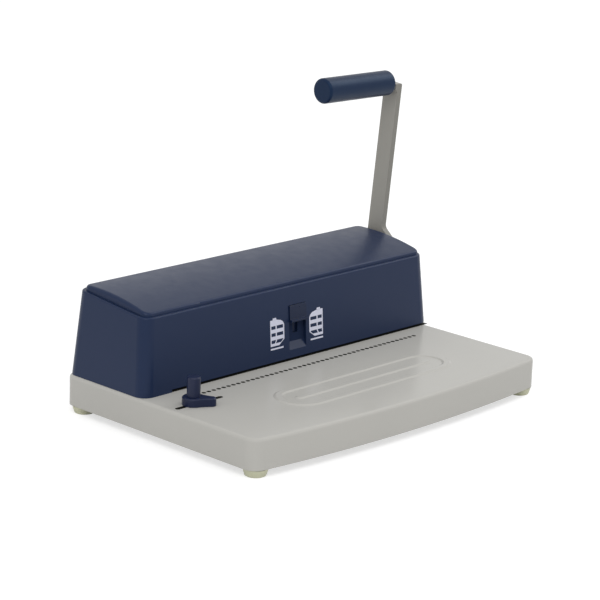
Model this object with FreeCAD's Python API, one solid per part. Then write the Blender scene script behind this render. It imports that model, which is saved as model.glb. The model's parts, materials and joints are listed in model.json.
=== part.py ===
import FreeCAD, Part
import math
import os

from FreeCAD import Vector

# Desk punch for coil binding, in millimetres.
# Modelled about the middle of the base: X runs along the length with the lever at the right,
# Y runs to the rear, Z is up and the table is at zero. Every piece is shifted at export, so that
# the written origin is the bottom centre of the whole machine's box.

# Base tray, pressed from sheet
BASE_DEPTH = 242.0
FRONT_BOW = 12.1
SKIRT_HEIGHT = 28.0
SKIRT_ABOVE_TABLE = 7.2
TRAY_SHEET = 1.5
TRAY_CORNER_RADIUS = 12.3
TRAY_BEND_RADIUS = 3.2

# Hole pattern, shared by the gauge row, the die, the guide plate and the pins
HOLE_COUNT = 50
HOLE_PITCH = 6.0
GAUGE_HOLE_DIAMETER = 4.0
GAUGE_ROW_AHEAD = 18.2
STUD_GAP = 0.05
STUD_SUNK = 0.05
STUD_STRIP_SHEET = 1.5
STUD_STRIP_DEPTH = 9.0
STUD_STRIP_END_MARGIN = 4.5

# Pressed stiffening beads in the deck
BEAD_LENGTH = 212.0
BEAD_RING_DEPTH = 50.0
BEAD_WIDTH = 9.0
BEAD_HEIGHT = 0.9
BEAD_FLANK = 2.0
BEAD_X = 10.0
BEAD_FROM_FRONT = 57.0

# Feet, their screws and the posts above them
FRONT_FOOT_INSET_X = 12.6
FRONT_FOOT_INSET_Y = 9.9
REAR_FOOT_INSET_X = 11.6
REAR_FOOT_INSET_Y = 15.0
FOOT_TOP_RADIUS = 11.3
FOOT_BOTTOM_RADIUS = 9.2
FOOT_SPIGOT_RADIUS = 9.8
FOOT_EDGE_ROUND = 1.2
FOOT_SKIRT_GAP = 0.4
STANDOFF_DIAMETER = 14.0
STANDOFF_HOLE_SPARE = 1.0
FOOT_SCREW_DIAMETER = 4.0
FOOT_SCREW_HEAD_DIAMETER = 8.0
FOOT_SCREW_HEAD_HEIGHT = 2.6
FOOT_SCREW_GRIP = 9.0
FOOT_RECESS_DEPTH = 5.2
FOOT_RECESS_GAP = 0.5

# Bottom plate
BOTTOM_SHEET = 1.5
BOTTOM_RAISED = 1.0
BOTTOM_GAP = 0.3

# Cover shell and lid, moulded
COVER_SIDE_SETBACK = 2.2
COVER_RIGHT_REACH = 5.7
COVER_REAR_SETBACK = 2.0
COVER_DRAFT_DEG = 4.4
COVER_WALL = 2.5
COVER_FRONT_CORNER = 11.0
COVER_REAR_CORNER = 10.0
COVER_FOOT_REACH = 6.0
COVER_FOOT_THICKNESS = 2.0
LEDGE_ABOVE_FRAME = 4.9
LID_SLOPE_DEG = 5.6
LEDGE_RING = 7.0
RIM_ROUND = 1.6
LID_INSET = 3.4
LID_RIGHT_REACH = 2.0
LID_FRONT_RISE = 3.0
LID_REAR_RISE = 4.1
LID_CROWN = 3.4
LID_WALL = 2.2
LID_EDGE_RADIUS = 2.9
LID_LIP_DEPTH = 4.0
LID_LIP_GAP = 0.3
LOFT_ABOVE_LEDGE = 35.0

# Throat that the paper slides into
THROAT_HEIGHT = 2.6
THROAT_LEFT_SETBACK = 2.0

# Punch pins and the block that they work in
PIN_DIAMETER = 4.0
PIN_CLEARANCE = 0.05
DIE_THICKNESS = 8.0
DIE_DEPTH = 32.0
DIE_LAND_DEPTH = 14.0
DIE_LAND_GAP = 0.15
GUIDE_THICKNESS = 8.0
ROW_END_MARGIN = 5.0
SPACER_WIDTH = 14.0
BLOCK_FRONT_SETBACK = 12.0
BLOCK_BLIND_FLOOR = 2.0
PIN_REST_LIFT = 0.8
PIN_LENGTH = 35.4
POST_DIAMETER = 8.0
POST_INSET = 6.0
POST_SETBACK = 4.0
POST_CLEARANCE = 0.05
STACK_SCREW_DIAMETER = 4.0
STACK_SCREW_HEAD = 7.0
STACK_SCREW_HEAD_HEIGHT = 4.0
STACK_SCREW_INSET = 6.0
STACK_SCREW_OFFSET = 12.0

# Ram that carries the pins
RAM_END_SETBACK = 2.0
RAM_HEIGHT = 20.0
RAM_BACK = 8.0
RAM_SHOULDER = 6.0
CLAMP_THICKNESS = 6.0
EAR_THICKNESS = 6.0
EAR_MARGIN = 5.0
CLAMP_SCREW_DIAMETER = 4.0
CLAMP_SCREW_HEAD = 7.0
CLAMP_SCREW_HEAD_HEIGHT = 3.5
CLAMP_SCREW_INSET = 15.0
CLAMP_SCREW_PITCH = 47.5
CLAMP_SCREWS_EACH_SIDE = 3

# Rack and pinion
GEAR_MODULE = 1.25
PINION_TEETH = 16
PRESSURE_ANGLE_DEG = 20.0
RACK_ADDENDUM = 0.8 * GEAR_MODULE
RACK_DEDENDUM = 1.25 * GEAR_MODULE
PINION_ADDENDUM = 1.0 * GEAR_MODULE
PINION_DEDENDUM = 1.05 * GEAR_MODULE
TOOTH_THINNING = 0.12
PINION_WIDTH = 12.0
RACK_WIDTH = 10.0
RACK_INSET = 13.0
RACK_BODY = 8.5
RACK_SCREW_DIAMETER = 4.0
RACK_SCREW_HEAD = 6.6
RACK_SCREW_HEAD_HEIGHT = 3.4
RACK_SEAT_GAP = 0.2
RACK_SCREW_RISE = 4.0
RACK_SCREW_PITCH = 8.0
LEVER_TRAVEL_DEG = 66.0

# Drive shaft and its bearings
SHAFT_DIAMETER = 12.0
SHAFT_ABOVE_RAM = 5.0
SHAFT_SQUARE = 8.4
SHAFT_LEFT_OVERHANG = 4.5
SHAFT_RIGHT_OVERHANG = 1.5
BUSH_CLEARANCE = 0.05
BUSH_OUTER = 18.0
BUSH_FLANGE = 22.0
BUSH_FLANGE_THICKNESS = 2.0
COLLAR_DIAMETER = 18.0
COLLAR_GAP = 0.4

# Side frames and tie bars
FRAME_THICKNESS = 5.0
FRAME_BEHIND_SHAFT = 32.0
FRAME_ABOVE_SHAFT = 15.0
FRAME_FRONT_MARGIN = 2.0
FRAME_FRONT_ROOM = 8.0
FRAME_REAR_ROOM = 15.0
FRAME_SIDE_ROOM = 2.0
FRAME_REAR_EDGE_HEIGHT = 30.0
FRAME_REAR_CUT = 14.0
FRAME_FRONT_CUT = 6.0
FRAME_FRONT_CUT_HEIGHT = 10.0
FLANGE_WIDTH = 8.0
FLANGE_THICKNESS = 3.0
FRAME_SCREW_DIAMETER = 5.0
FRAME_SCREW_HEAD = 8.0
FRAME_SCREW_HEAD_HEIGHT = 4.0
FRAME_NUT_SIZE = 8.0
FRAME_NUT_HEIGHT = 4.0
FRAME_SCREW_INSET = 12.0
FRAME_SCREW_TAIL = 1.0
TIE_BAR_DIAMETER = 10.0
LOW_TIE_BAR_INSET = 8.0
LOW_TIE_BAR_ABOVE_DECK = 14.8
HIGH_TIE_BAR_BEHIND_SHAFT = 16.0
HIGH_TIE_BAR_ABOVE_SHAFT = 5.0

# Cover brackets and screws at the rear
BRACKET_X = 80.0
BRACKET_WIDTH = 40.0
BRACKET_SHEET = 2.0
BRACKET_HEIGHT = 15.0
BRACKET_FOOT = 12.0
BRACKET_GAP = 0.3
COVER_SCREW_DIAMETER = 4.0
COVER_SCREW_HEAD = 8.0
COVER_SCREW_HEAD_HEIGHT = 2.2
COVER_SCREW_HEIGHT = 8.0

# Lever, one bent and cranked bar
BAR_WIDTH = 17.8
BAR_THICKNESS = 6.0
BAR_OFFSET = 23.55
BAR_LEAN_DEG = 5.25
TANG_HEIGHT = 175.2
BEND_DEG = 88.9
BAR_BEND_RADIUS = 3.0
BAR_CORNER_RADIUS = 1.8
CRANK_ANGLE_DEG = 36.5
CRANK_TOP = 32.8
CRANK_HEEL = 12.0
CRANK_INNER_FILLET = 6.0
CRANK_HEEL_FILLET = 12.0
HUB_RADIUS = 17.8
BOSS_DIAMETER = 24.0
COVER_TO_HUB_GAP = 1.4
BOSS_HOLE_GAP = 0.8
BOSS_FRAME_GAP = 2.0
TANG_WIDTH = 14.0
TANG_END_INSET = 12.0
LEVER_WASHER_DIAMETER = 20.0
LEVER_WASHER_THICKNESS = 2.0
LEVER_SCREW_DIAMETER = 5.0
LEVER_SCREW_HEAD = 10.0
LEVER_SCREW_HEAD_HEIGHT = 4.0
LEVER_SCREW_DEPTH = 10.0

# Grip, moulded on the tang
GRIP_DIAMETER = 24.2
GRIP_LENGTH = 90.8
GRIP_END_ROUND = 2.4
GRIP_TO_BEND = 3.2
GRIP_ABOVE_TANG = 2.8
TANG_GAP = 0.05

# Return springs
SPRING_OUTER = 13.0
SPRING_INNER = 10.0

# Side stop for the paper
SLOT_LENGTH = 55.0
SLOT_WIDTH = 4.4
SLOT_AHEAD = 36.0
SLOT_EDGE_INSET = 6.8
STOP_ALONG_SLOT = 20.6
STOP_BOSS_RADIUS = 10.0
STOP_ARM_HEIGHT = 7.2
STOP_ARM_GAP = 0.15
STOP_NOSE_REACH = 19.9
STOP_NOSE_RADIUS = 4.2
STOP_NOSE_DEG = -51.0
STOP_ARM_CHAMFER = 0.8
STOP_FLANK_RADIUS = 30.0
STOP_KNOB_DIAMETER = 12.0
STOP_KNOB_HEIGHT = 17.7
STOP_KNOB_ROUND = 1.2
STOP_STUD_DIAMETER = 4.0
STOP_NUT_SIZE = 14.0
STOP_NUT_HEIGHT = 5.0
STOP_STUD_TAIL = 1.0
STOP_KEY_LENGTH = 8.0
STOP_NUT_GAP = 0.3
STOP_KEY_GAP = 0.1

# Selector in the front wall
SELECTOR_X = 7.7
SELECTOR_ABOVE_DECK = 31.0
POCKET_WIDTH = 22.0
POCKET_SPARE = 3.5
POCKET_DEPTH = 3.4
POCKET_LIP = 7.0
POCKET_WALL = 2.0
BUTTON_HEIGHT = 15.5
BUTTON_GAP = 0.3
BUTTON_PROUD = 1.2
BUTTON_RIDGE = 2.4
BUTTON_RIDGE_HEIGHT = 2.4
BUTTON_RIDGE_FALL = 0.5
BUTTON_EDGE_ROUND = 0.8
SHANK_WIDTH = 6.0
SHANK_HEIGHT = 6.0
SHANK_GAP = 0.2
SHUTTER_GAP = 0.2
SHUTTER_THICKNESS = 0.8
SHUTTER_LAP = 0.8
SELECTOR_TRAVEL = 16.0

# Strap from the selector over the ram, and the depth stop that it shifts
STRAP_SHEET = 2.0
STRAP_WIDTH = 16.4
STRAP_RAM_GAP = 2.4
STRAP_DROP_GAP = 2.0
STRAP_BELOW_SCREW = 4.5
CAM_RAM_GAP = 2.5
CAM_SHAFT_GAP = 0.8
CAM_THROAT_GAP = 2.2
CAM_SLOT_CLEARANCE = 0.05
DEPTH_STOP_TRAVEL = 1.5
STOP_BAR_END_GAP = 12.0
STOP_BAR_DEPTH = 11.0
STOP_BAR_THICKNESS = 2.0
STOP_BAR_MARGIN = 3.0
EAR_PLATE_THICKNESS = 2.0
EAR_PLATE_GAP = 0.4
EAR_PLATE_DEPTH = 7.0
EAR_PLATE_ABOVE_PIN = 4.0
FOLLOWER_DIAMETER = 4.0
FOLLOWER_INSET = 3.5
FOLLOWER_RISE = 8.0
FOLLOWER_OVERHANG = 1.4
NOTCH_MARGIN = 6.0
NOTCH_FRONT_MARGIN = 2.0
SELECTOR_SCREW_DIAMETER = 3.0
SELECTOR_SCREW_HEAD = 5.5
SELECTOR_SCREW_HEAD_HEIGHT = 1.6

# Chip drawer under the die
DRAWER_DEPTH = 44.0
DRAWER_HEIGHT = 14.5
DRAWER_WALL = 1.5
DRAWER_LIFT = 0.2
DRAWER_MOUTH_GAP = 0.8
DRAWER_PANEL_MARGIN = 4.0
DRAWER_PANEL_THICKNESS = 2.5
DRAWER_PANEL_GAP = 0.2
DRAWER_PANEL_DROP = 1.0
DRAWER_PANEL_RISE = 2.0
DRAWER_PULL_REACH = 6.0
DRAWER_PULL_THICKNESS = 2.5
DRAWER_PULL_WIDTH = 30.0
RAIL_SHEET = 1.5
RAIL_HEIGHT = 7.0
RAIL_FOOT = 8.0
RAIL_GAP = 0.4
RAIL_END_GAP = 2.0

# Slopes and radii that follow
DRAFT = math.tan(math.radians(COVER_DRAFT_DEG))
LID_SLOPE = math.tan(math.radians(LID_SLOPE_DEG))
PINION_RADIUS = GEAR_MODULE * PINION_TEETH / 2
RAM_TRAVEL = math.radians(LEVER_TRAVEL_DEG) * PINION_RADIUS
POCKET_HEIGHT = BUTTON_HEIGHT + SELECTOR_TRAVEL + POCKET_LIP + POCKET_SPARE

# Heights that follow, from the table up
DECK_Z = SKIRT_ABOVE_TABLE + SKIRT_HEIGHT
DECK_UNDERSIDE = DECK_Z - TRAY_SHEET
BOTTOM_Z = SKIRT_ABOVE_TABLE + BOTTOM_RAISED
BOTTOM_TOP = BOTTOM_Z + BOTTOM_SHEET
DRAWER_Z = BOTTOM_TOP + DRAWER_LIFT
DIE_Z = DECK_UNDERSIDE - DIE_THICKNESS
BLIND_Z = DIE_Z + BLOCK_BLIND_FLOOR
GUIDE_Z = DECK_Z + THROAT_HEIGHT
GUIDE_TOP = GUIDE_Z + GUIDE_THICKNESS
PIN_TIP_Z = GUIDE_Z + PIN_REST_LIFT
PIN_TOP_Z = PIN_TIP_Z + PIN_LENGTH
RAM_TOP = PIN_TOP_Z + RAM_SHOULDER
RAM_Z = RAM_TOP - RAM_HEIGHT
SHAFT_Z = RAM_TOP + SHAFT_ABOVE_RAM
FRAME_TOP_Z = SHAFT_Z + FRAME_ABOVE_SHAFT
LEDGE_Z = FRAME_TOP_Z + LEDGE_ABOVE_FRAME
SELECTOR_Z = DECK_Z + SELECTOR_ABOVE_DECK
STRAP_TOP_Z = RAM_TOP + SELECTOR_TRAVEL + STRAP_DROP_GAP + STRAP_SHEET
CAM_BOTTOM_Z = GUIDE_Z + SELECTOR_TRAVEL + CAM_THROAT_GAP
FOLLOWER_Z = CAM_BOTTOM_Z + FOLLOWER_RISE

# Places along the length that follow, from the hole row out to the ends
ROW_HALF_LENGTH = (HOLE_COUNT - 1) * HOLE_PITCH / 2
THROAT_SIDE_X = ROW_HALF_LENGTH + ROW_END_MARGIN
THROAT_LEFT_X = THROAT_LEFT_SETBACK - THROAT_SIDE_X
BLOCK_HALF_LENGTH = THROAT_SIDE_X + SPACER_WIDTH
POST_X = THROAT_SIDE_X + POST_INSET
RAM_HALF_LENGTH = THROAT_SIDE_X - RAM_END_SETBACK
RACK_X = RAM_HALF_LENGTH - RACK_INSET
FRAME_OUTER_X = BLOCK_HALF_LENGTH + FRAME_THICKNESS
COVER_LEFT_X = -(FRAME_OUTER_X + FLANGE_WIDTH + FRAME_SIDE_ROOM + COVER_WALL)
COVER_RIGHT_X = COVER_RIGHT_REACH - COVER_LEFT_X
HALF_LENGTH = COVER_SIDE_SETBACK - COVER_LEFT_X
SLOT_LEFT_X = SLOT_EDGE_INSET - HALF_LENGTH
STOP_X = SLOT_LEFT_X + STOP_ALONG_SLOT
BAR_X = COVER_RIGHT_X - (SHAFT_Z - HUB_RADIUS - DECK_Z) * DRAFT + COVER_TO_HUB_GAP
BAR_OUTER_X = BAR_X + BAR_THICKNESS
WASHER_X = BAR_OUTER_X + LEVER_WASHER_THICKNESS
MACHINE_RIGHT_X = WASHER_X + LEVER_SCREW_HEAD_HEIGHT
GRIP_RIGHT_X = BAR_X - BAR_BEND_RADIUS - GRIP_TO_BEND
PANEL_X = HALF_LENGTH + DRAWER_PANEL_GAP
STRAP_LEFT_X = SELECTOR_X - STRAP_WIDTH / 2
STRAP_RIGHT_X = SELECTOR_X + STRAP_WIDTH / 2
EAR_PLATE_X = STRAP_RIGHT_X - STRAP_SHEET - EAR_PLATE_GAP - EAR_PLATE_THICKNESS

# Places in depth that follow, from the rear of the cover forward
HALF_DEPTH = BASE_DEPTH / 2
COVER_REAR_Y = HALF_DEPTH - COVER_REAR_SETBACK
FRAME_REAR_Y = COVER_REAR_Y - FRAME_REAR_ROOM
SHAFT_Y = FRAME_REAR_Y - FRAME_BEHIND_SHAFT
RACK_PITCH_Y = SHAFT_Y - PINION_RADIUS
RACK_ROOT_Y = RACK_PITCH_Y - RACK_DEDENDUM
RAM_REAR_Y = RACK_ROOT_Y - RACK_BODY
PIN_SEAT_Y = RAM_REAR_Y - RAM_BACK
PUNCH_ROW_Y = PIN_SEAT_Y - PIN_DIAMETER / 2
RAM_FRONT_Y = PUNCH_ROW_Y - PIN_DIAMETER / 2
CLAMP_FRONT_Y = RAM_FRONT_Y - CLAMP_THICKNESS
BLOCK_FRONT_Y = PUNCH_ROW_Y - BLOCK_FRONT_SETBACK
BLOCK_REAR_Y = BLOCK_FRONT_Y + DIE_DEPTH
POST_Y = PUNCH_ROW_Y + POST_SETBACK
FRAME_FRONT_Y = BLOCK_FRONT_Y - FRAME_FRONT_MARGIN
COVER_FRONT_Y = FRAME_FRONT_Y - FRAME_FRONT_ROOM - COVER_WALL
LEDGE_Y = COVER_FRONT_Y + (LEDGE_Z - DECK_Z) * DRAFT
GAUGE_ROW_Y = COVER_FRONT_Y - GAUGE_ROW_AHEAD
SLOT_Y = COVER_FRONT_Y - SLOT_AHEAD
BEAD_Y = BEAD_FROM_FRONT - HALF_DEPTH
DRAWER_FRONT_Y = PUNCH_ROW_Y - DRAWER_DEPTH / 2
STRAP_FRONT_Y = CLAMP_FRONT_Y - STRAP_RAM_GAP - STRAP_SHEET
CAM_FRONT_Y = RAM_REAR_Y + CAM_RAM_GAP
CAM_REAR_Y = SHAFT_Y - SHAFT_DIAMETER / 2 - CAM_SHAFT_GAP
FOLLOWER_Y = CAM_FRONT_Y + FOLLOWER_INSET

# Axes, and how far cutters run past what they cut
ORIGIN_SHIFT = Vector((HALF_LENGTH - MACHINE_RIGHT_X) / 2, FRONT_BOW / 2, 0)
X_AXIS = Vector(1, 0, 0)
Y_AXIS = Vector(0, 1, 0)
Z_AXIS = Vector(0, 0, 1)
OVERRUN = 1.0
FAR = 400.0
SAME = 1e-4


# General helpers
def box(x0, x1, y0, y1, z0, z1):
    return Part.makeBox(x1 - x0, y1 - y0, z1 - z0, Vector(x0, y0, z0))


def rod(diameter, length, start, axis=Z_AXIS):
    return Part.makeCylinder(diameter / 2, length, start, axis)


def prism_x(outline, x0, x1):
    """Solid between x0 and x1 on an outline of (y, z) corners."""
    corners = [Vector(x0, y, z) for y, z in outline]
    face = Part.Face(Part.makePolygon(corners + corners[:1]))
    return face.extrude(Vector(x1 - x0, 0, 0))


def screw(diameter, head, head_height, grip, seat, into):
    """Screw with a plain round head: the head stands on the seat and the shank runs into."""
    away = into * -1
    head_solid = rod(head, head_height, seat, away)
    return head_solid.fuse(rod(diameter, grip, seat, into)).removeSplitter()


def hole_places():
    return [index * HOLE_PITCH - ROW_HALF_LENGTH for index in range(HOLE_COUNT)]


def row_of_holes(diameter, row_y, z0, z1):
    return [rod(diameter, z1 - z0, Vector(x, row_y, z0)) for x in hole_places()]


def mirrored(shape):
    return shape.mirror(Vector(0, 0, 0), X_AXIS)


def edges_at_height(shape, height):
    return [e for e in shape.Edges if abs(e.BoundBox.ZMin - height) + abs(e.BoundBox.ZMax - height) < SAME]


def upright_edges(shape):
    return [e for e in shape.Edges if e.BoundBox.XLength + e.BoundBox.YLength < SAME]


def save(name, *solids):
    shape = solids[0] if len(solids) == 1 else Part.makeCompound(list(solids))
    shape = shape.copy()
    shape.translate(ORIGIN_SHIFT)
    shape.exportStep("parts/" + name + ".step")


# Base tray and what closes it below
def tray_block(inset, z0, z1):
    """Block on the tray's plan, drawn in by the inset, with its front edge bowed."""
    bow_radius = (HALF_LENGTH ** 2 + FRONT_BOW ** 2) / (2 * FRONT_BOW)
    bow_centre_y = bow_radius - HALF_DEPTH - FRONT_BOW
    half = HALF_LENGTH - inset
    rear = HALF_DEPTH - inset
    radius = bow_radius - inset
    front = bow_centre_y - math.sqrt(radius ** 2 - half ** 2)
    front_left = Vector(-half, front, z0)
    front_right = Vector(half, front, z0)
    rear_right = Vector(half, rear, z0)
    rear_left = Vector(-half, rear, z0)
    bow = Part.Arc(front_left, Vector(0, bow_centre_y - radius, z0), front_right).toShape()
    sides = [Part.makeLine(front_right, rear_right), Part.makeLine(rear_right, rear_left),
             Part.makeLine(rear_left, front_left)]
    block = Part.Face(Part.Wire([bow] + sides)).extrude(Vector(0, 0, z1 - z0))
    return block.makeFillet(TRAY_CORNER_RADIUS - inset, upright_edges(block))


def stadium(half_length, half_width, x, y, z):
    """Closed outline of a straight slot with round ends."""
    run = half_length - half_width
    left, right = x - run, x + run
    lower = Part.makeLine(Vector(left, y - half_width, z), Vector(right, y - half_width, z))
    right_end = Part.Arc(Vector(right, y - half_width, z), Vector(right + half_width, y, z),
                         Vector(right, y + half_width, z)).toShape()
    upper = Part.makeLine(Vector(right, y + half_width, z), Vector(left, y + half_width, z))
    left_end = Part.Arc(Vector(left, y + half_width, z), Vector(left - half_width, y, z),
                        Vector(left, y - half_width, z)).toShape()
    return Part.Wire([lower, right_end, upper, left_end])


def tapered_stadium(half_length, half_width, taper, z0, z1):
    low = stadium(half_length, half_width, BEAD_X, BEAD_Y, z0)
    high = stadium(half_length - taper, half_width - taper, BEAD_X, BEAD_Y, z1)
    return Part.makeLoft([low, high], True, True)


def bead_shape(z0):
    """A closed bead round a straight one, both raised by the bead's height."""
    z1 = z0 + BEAD_HEIGHT
    half_length = BEAD_LENGTH / 2
    half_depth = BEAD_RING_DEPTH / 2
    ring = tapered_stadium(half_length, half_depth, BEAD_FLANK, z0, z1)
    ring = ring.cut(tapered_stadium(half_length - BEAD_WIDTH, half_depth - BEAD_WIDTH, -BEAD_FLANK, z0, z1))
    straight = tapered_stadium(half_length - 2 * BEAD_WIDTH, BEAD_WIDTH / 2, BEAD_FLANK, z0, z1)
    return [ring, straight]


def drawer_mouth():
    gap = DRAWER_MOUTH_GAP
    return box(HALF_LENGTH - 3 * TRAY_SHEET, HALF_LENGTH + TRAY_SHEET,
               DRAWER_FRONT_Y - gap, DRAWER_FRONT_Y + DRAWER_DEPTH + gap,
               BOTTOM_TOP - DRAWER_LIFT, DRAWER_Z + DRAWER_HEIGHT + gap)


def base_tray():
    outer = tray_block(0, SKIRT_ABOVE_TABLE, DECK_Z)
    outer = outer.makeFillet(TRAY_BEND_RADIUS, edges_at_height(outer, DECK_Z))
    inner = tray_block(TRAY_SHEET, SKIRT_ABOVE_TABLE - OVERRUN, DECK_UNDERSIDE)
    inner = inner.makeFillet(TRAY_BEND_RADIUS - TRAY_SHEET, edges_at_height(inner, DECK_UNDERSIDE))
    tray = outer.cut(inner).fuse(bead_shape(DECK_Z)).cut(bead_shape(DECK_UNDERSIDE))
    below = DECK_UNDERSIDE - OVERRUN
    above = DECK_Z + OVERRUN
    cuts = row_of_holes(GAUGE_HOLE_DIAMETER, GAUGE_ROW_Y, below, above)
    slot = stadium(SLOT_LENGTH / 2, SLOT_WIDTH / 2, SLOT_LEFT_X + SLOT_LENGTH / 2, SLOT_Y, below)
    cuts.append(Part.Face(slot).extrude(Vector(0, 0, above - below)))
    cuts.append(die_land(DIE_LAND_GAP, below, above))
    cuts.append(drawer_mouth())
    for x, y in frame_screw_places():
        cuts.append(rod(FRAME_SCREW_DIAMETER, above - below, Vector(x, y, below)))
    for x, y in stack_screw_places():
        cuts.append(rod(STACK_SCREW_DIAMETER, above - below, Vector(x, y, below)))
    for side in (-1, 1):
        cuts.append(rod(POST_DIAMETER, above - below, Vector(side * POST_X, POST_Y, below)))
    return tray.cut(cuts).removeSplitter()


def stud_strip():
    """Dark strip held under the deck, its studs filling the gauge holes to just below the surface."""
    low = DECK_UNDERSIDE - STUD_STRIP_SHEET
    reach = ROW_HALF_LENGTH + STUD_STRIP_END_MARGIN
    half = STUD_STRIP_DEPTH / 2
    strip = box(-reach, reach, GAUGE_ROW_Y - half, GAUGE_ROW_Y + half, low, DECK_UNDERSIDE)
    return strip.fuse(row_of_holes(GAUGE_HOLE_DIAMETER - 2 * STUD_GAP, GAUGE_ROW_Y, low, DECK_Z - STUD_SUNK))


def foot_places():
    front_x = HALF_LENGTH - FRONT_FOOT_INSET_X
    front_y = FRONT_FOOT_INSET_Y - HALF_DEPTH
    rear_x = HALF_LENGTH - REAR_FOOT_INSET_X
    rear_y = HALF_DEPTH - REAR_FOOT_INSET_Y
    return {"front_left": (-front_x, front_y), "front_right": (front_x, front_y),
            "rear_left": (-rear_x, rear_y), "rear_right": (rear_x, rear_y)}


def bottom_plate():
    plate = tray_block(TRAY_SHEET + BOTTOM_GAP, BOTTOM_Z, BOTTOM_TOP)
    holes = [rod(FOOT_SCREW_DIAMETER, 3 * BOTTOM_SHEET, Vector(x, y, BOTTOM_Z - BOTTOM_SHEET))
             for x, y in foot_places().values()]
    return plate.cut(holes)


def foot(x, y):
    shoulder = SKIRT_ABOVE_TABLE - FOOT_SKIRT_GAP
    corners = [Vector(0, 0, 0), Vector(FOOT_BOTTOM_RADIUS, 0, 0), Vector(FOOT_TOP_RADIUS, 0, shoulder),
               Vector(FOOT_SPIGOT_RADIUS, 0, shoulder), Vector(FOOT_SPIGOT_RADIUS, 0, BOTTOM_Z),
               Vector(0, 0, BOTTOM_Z)]
    body = Part.Face(Part.makePolygon(corners + corners[:1])).revolve(Vector(0, 0, 0), Z_AXIS, 360)
    body = body.makeFillet(FOOT_EDGE_ROUND, edges_at_height(body, 0))
    body = body.cut(rod(FOOT_SCREW_HEAD_DIAMETER + 2 * FOOT_RECESS_GAP, FOOT_RECESS_DEPTH, Vector(0, 0, 0)))
    body = body.cut(rod(FOOT_SCREW_DIAMETER, BOTTOM_Z, Vector(0, 0, 0)))
    body.translate(Vector(x, y, 0))
    return body


def foot_screws():
    return [screw(FOOT_SCREW_DIAMETER, FOOT_SCREW_HEAD_DIAMETER, FOOT_SCREW_HEAD_HEIGHT, FOOT_SCREW_GRIP,
                  Vector(x, y, FOOT_RECESS_DEPTH), Z_AXIS) for x, y in foot_places().values()]


def standoffs():
    depth = FOOT_RECESS_DEPTH + FOOT_SCREW_GRIP - BOTTOM_TOP + STANDOFF_HOLE_SPARE
    posts = []
    for x, y in foot_places().values():
        post = rod(STANDOFF_DIAMETER, DECK_UNDERSIDE - BOTTOM_TOP, Vector(x, y, BOTTOM_TOP))
        posts.append(post.cut(rod(FOOT_SCREW_DIAMETER, depth, Vector(x, y, BOTTOM_TOP))))
    return posts


# Punch block: die under the deck, spacers and guide plate above it
def die_land(gap, z0, z1):
    half = DIE_LAND_DEPTH / 2 + gap
    reach = THROAT_SIDE_X + gap
    return box(-reach, reach, PUNCH_ROW_Y - half, PUNCH_ROW_Y + half, z0, z1)


def stack_screw_places():
    middle = (BLOCK_FRONT_Y + BLOCK_REAR_Y) / 2
    x = BLOCK_HALF_LENGTH - STACK_SCREW_INSET
    return [(sx * x, middle + sy * STACK_SCREW_OFFSET) for sx in (-1, 1) for sy in (-1, 1)]


def block_fixings(z0, z1):
    """Cutters for the guide posts and the stack screws, the same in every layer."""
    cutters = [rod(STACK_SCREW_DIAMETER, z1 - z0, Vector(x, y, z0)) for x, y in stack_screw_places()]
    for side in (-1, 1):
        cutters.append(rod(POST_DIAMETER, z1 - z0, Vector(side * POST_X, POST_Y, z0)))
    return cutters


def die_plate():
    reach = BLOCK_HALF_LENGTH
    plate = box(-reach, reach, BLOCK_FRONT_Y, BLOCK_REAR_Y, DIE_Z, DECK_UNDERSIDE)
    plate = plate.fuse(die_land(0, DECK_UNDERSIDE, DECK_Z))
    cuts = row_of_holes(PIN_DIAMETER + 2 * PIN_CLEARANCE, PUNCH_ROW_Y, DIE_Z - OVERRUN,
                        DECK_Z + OVERRUN)
    return plate.cut(cuts + block_fixings(BLIND_Z, DECK_Z)).removeSplitter()


def guide_spacers():
    cutters = block_fixings(DECK_Z - OVERRUN, GUIDE_Z + OVERRUN)
    right = box(THROAT_SIDE_X, BLOCK_HALF_LENGTH, BLOCK_FRONT_Y, BLOCK_REAR_Y, DECK_Z, GUIDE_Z)
    left = box(-BLOCK_HALF_LENGTH, -THROAT_SIDE_X, BLOCK_FRONT_Y, BLOCK_REAR_Y, DECK_Z, GUIDE_Z)
    return [left.cut(cutters), right.cut(cutters)]


def guide_plate():
    reach = BLOCK_HALF_LENGTH
    plate = box(-reach, reach, BLOCK_FRONT_Y, BLOCK_REAR_Y, GUIDE_Z, GUIDE_TOP)
    low = GUIDE_Z - OVERRUN
    high = GUIDE_TOP + OVERRUN
    notch = box(EAR_PLATE_X - NOTCH_MARGIN, STRAP_RIGHT_X + NOTCH_MARGIN,
                CAM_FRONT_Y - NOTCH_FRONT_MARGIN, BLOCK_REAR_Y + OVERRUN, low, high)
    cuts = row_of_holes(PIN_DIAMETER + 2 * PIN_CLEARANCE, PUNCH_ROW_Y, low, high)
    return plate.cut(cuts + block_fixings(low, high) + [notch])


def stack_screws():
    grip = GUIDE_TOP - BLIND_Z
    return [screw(STACK_SCREW_DIAMETER, STACK_SCREW_HEAD, STACK_SCREW_HEAD_HEIGHT, grip,
                  Vector(x, y, GUIDE_TOP), Z_AXIS * -1) for x, y in stack_screw_places()]


def guide_post(side):
    return rod(POST_DIAMETER, RAM_TOP + EAR_THICKNESS - BLIND_Z, Vector(side * POST_X, POST_Y, BLIND_Z))


def return_spring(side):
    foot_z = Vector(side * POST_X, POST_Y, GUIDE_TOP)
    height = RAM_TOP - EAR_THICKNESS - GUIDE_TOP
    return rod(SPRING_OUTER, height, foot_z).cut(rod(SPRING_INNER, height, foot_z))


# Ram with the pins
def clamp_screw_places():
    last = RAM_HALF_LENGTH - CLAMP_SCREW_INSET
    right = [last - index * CLAMP_SCREW_PITCH for index in range(CLAMP_SCREWS_EACH_SIDE)]
    return [-x for x in right] + right


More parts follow.
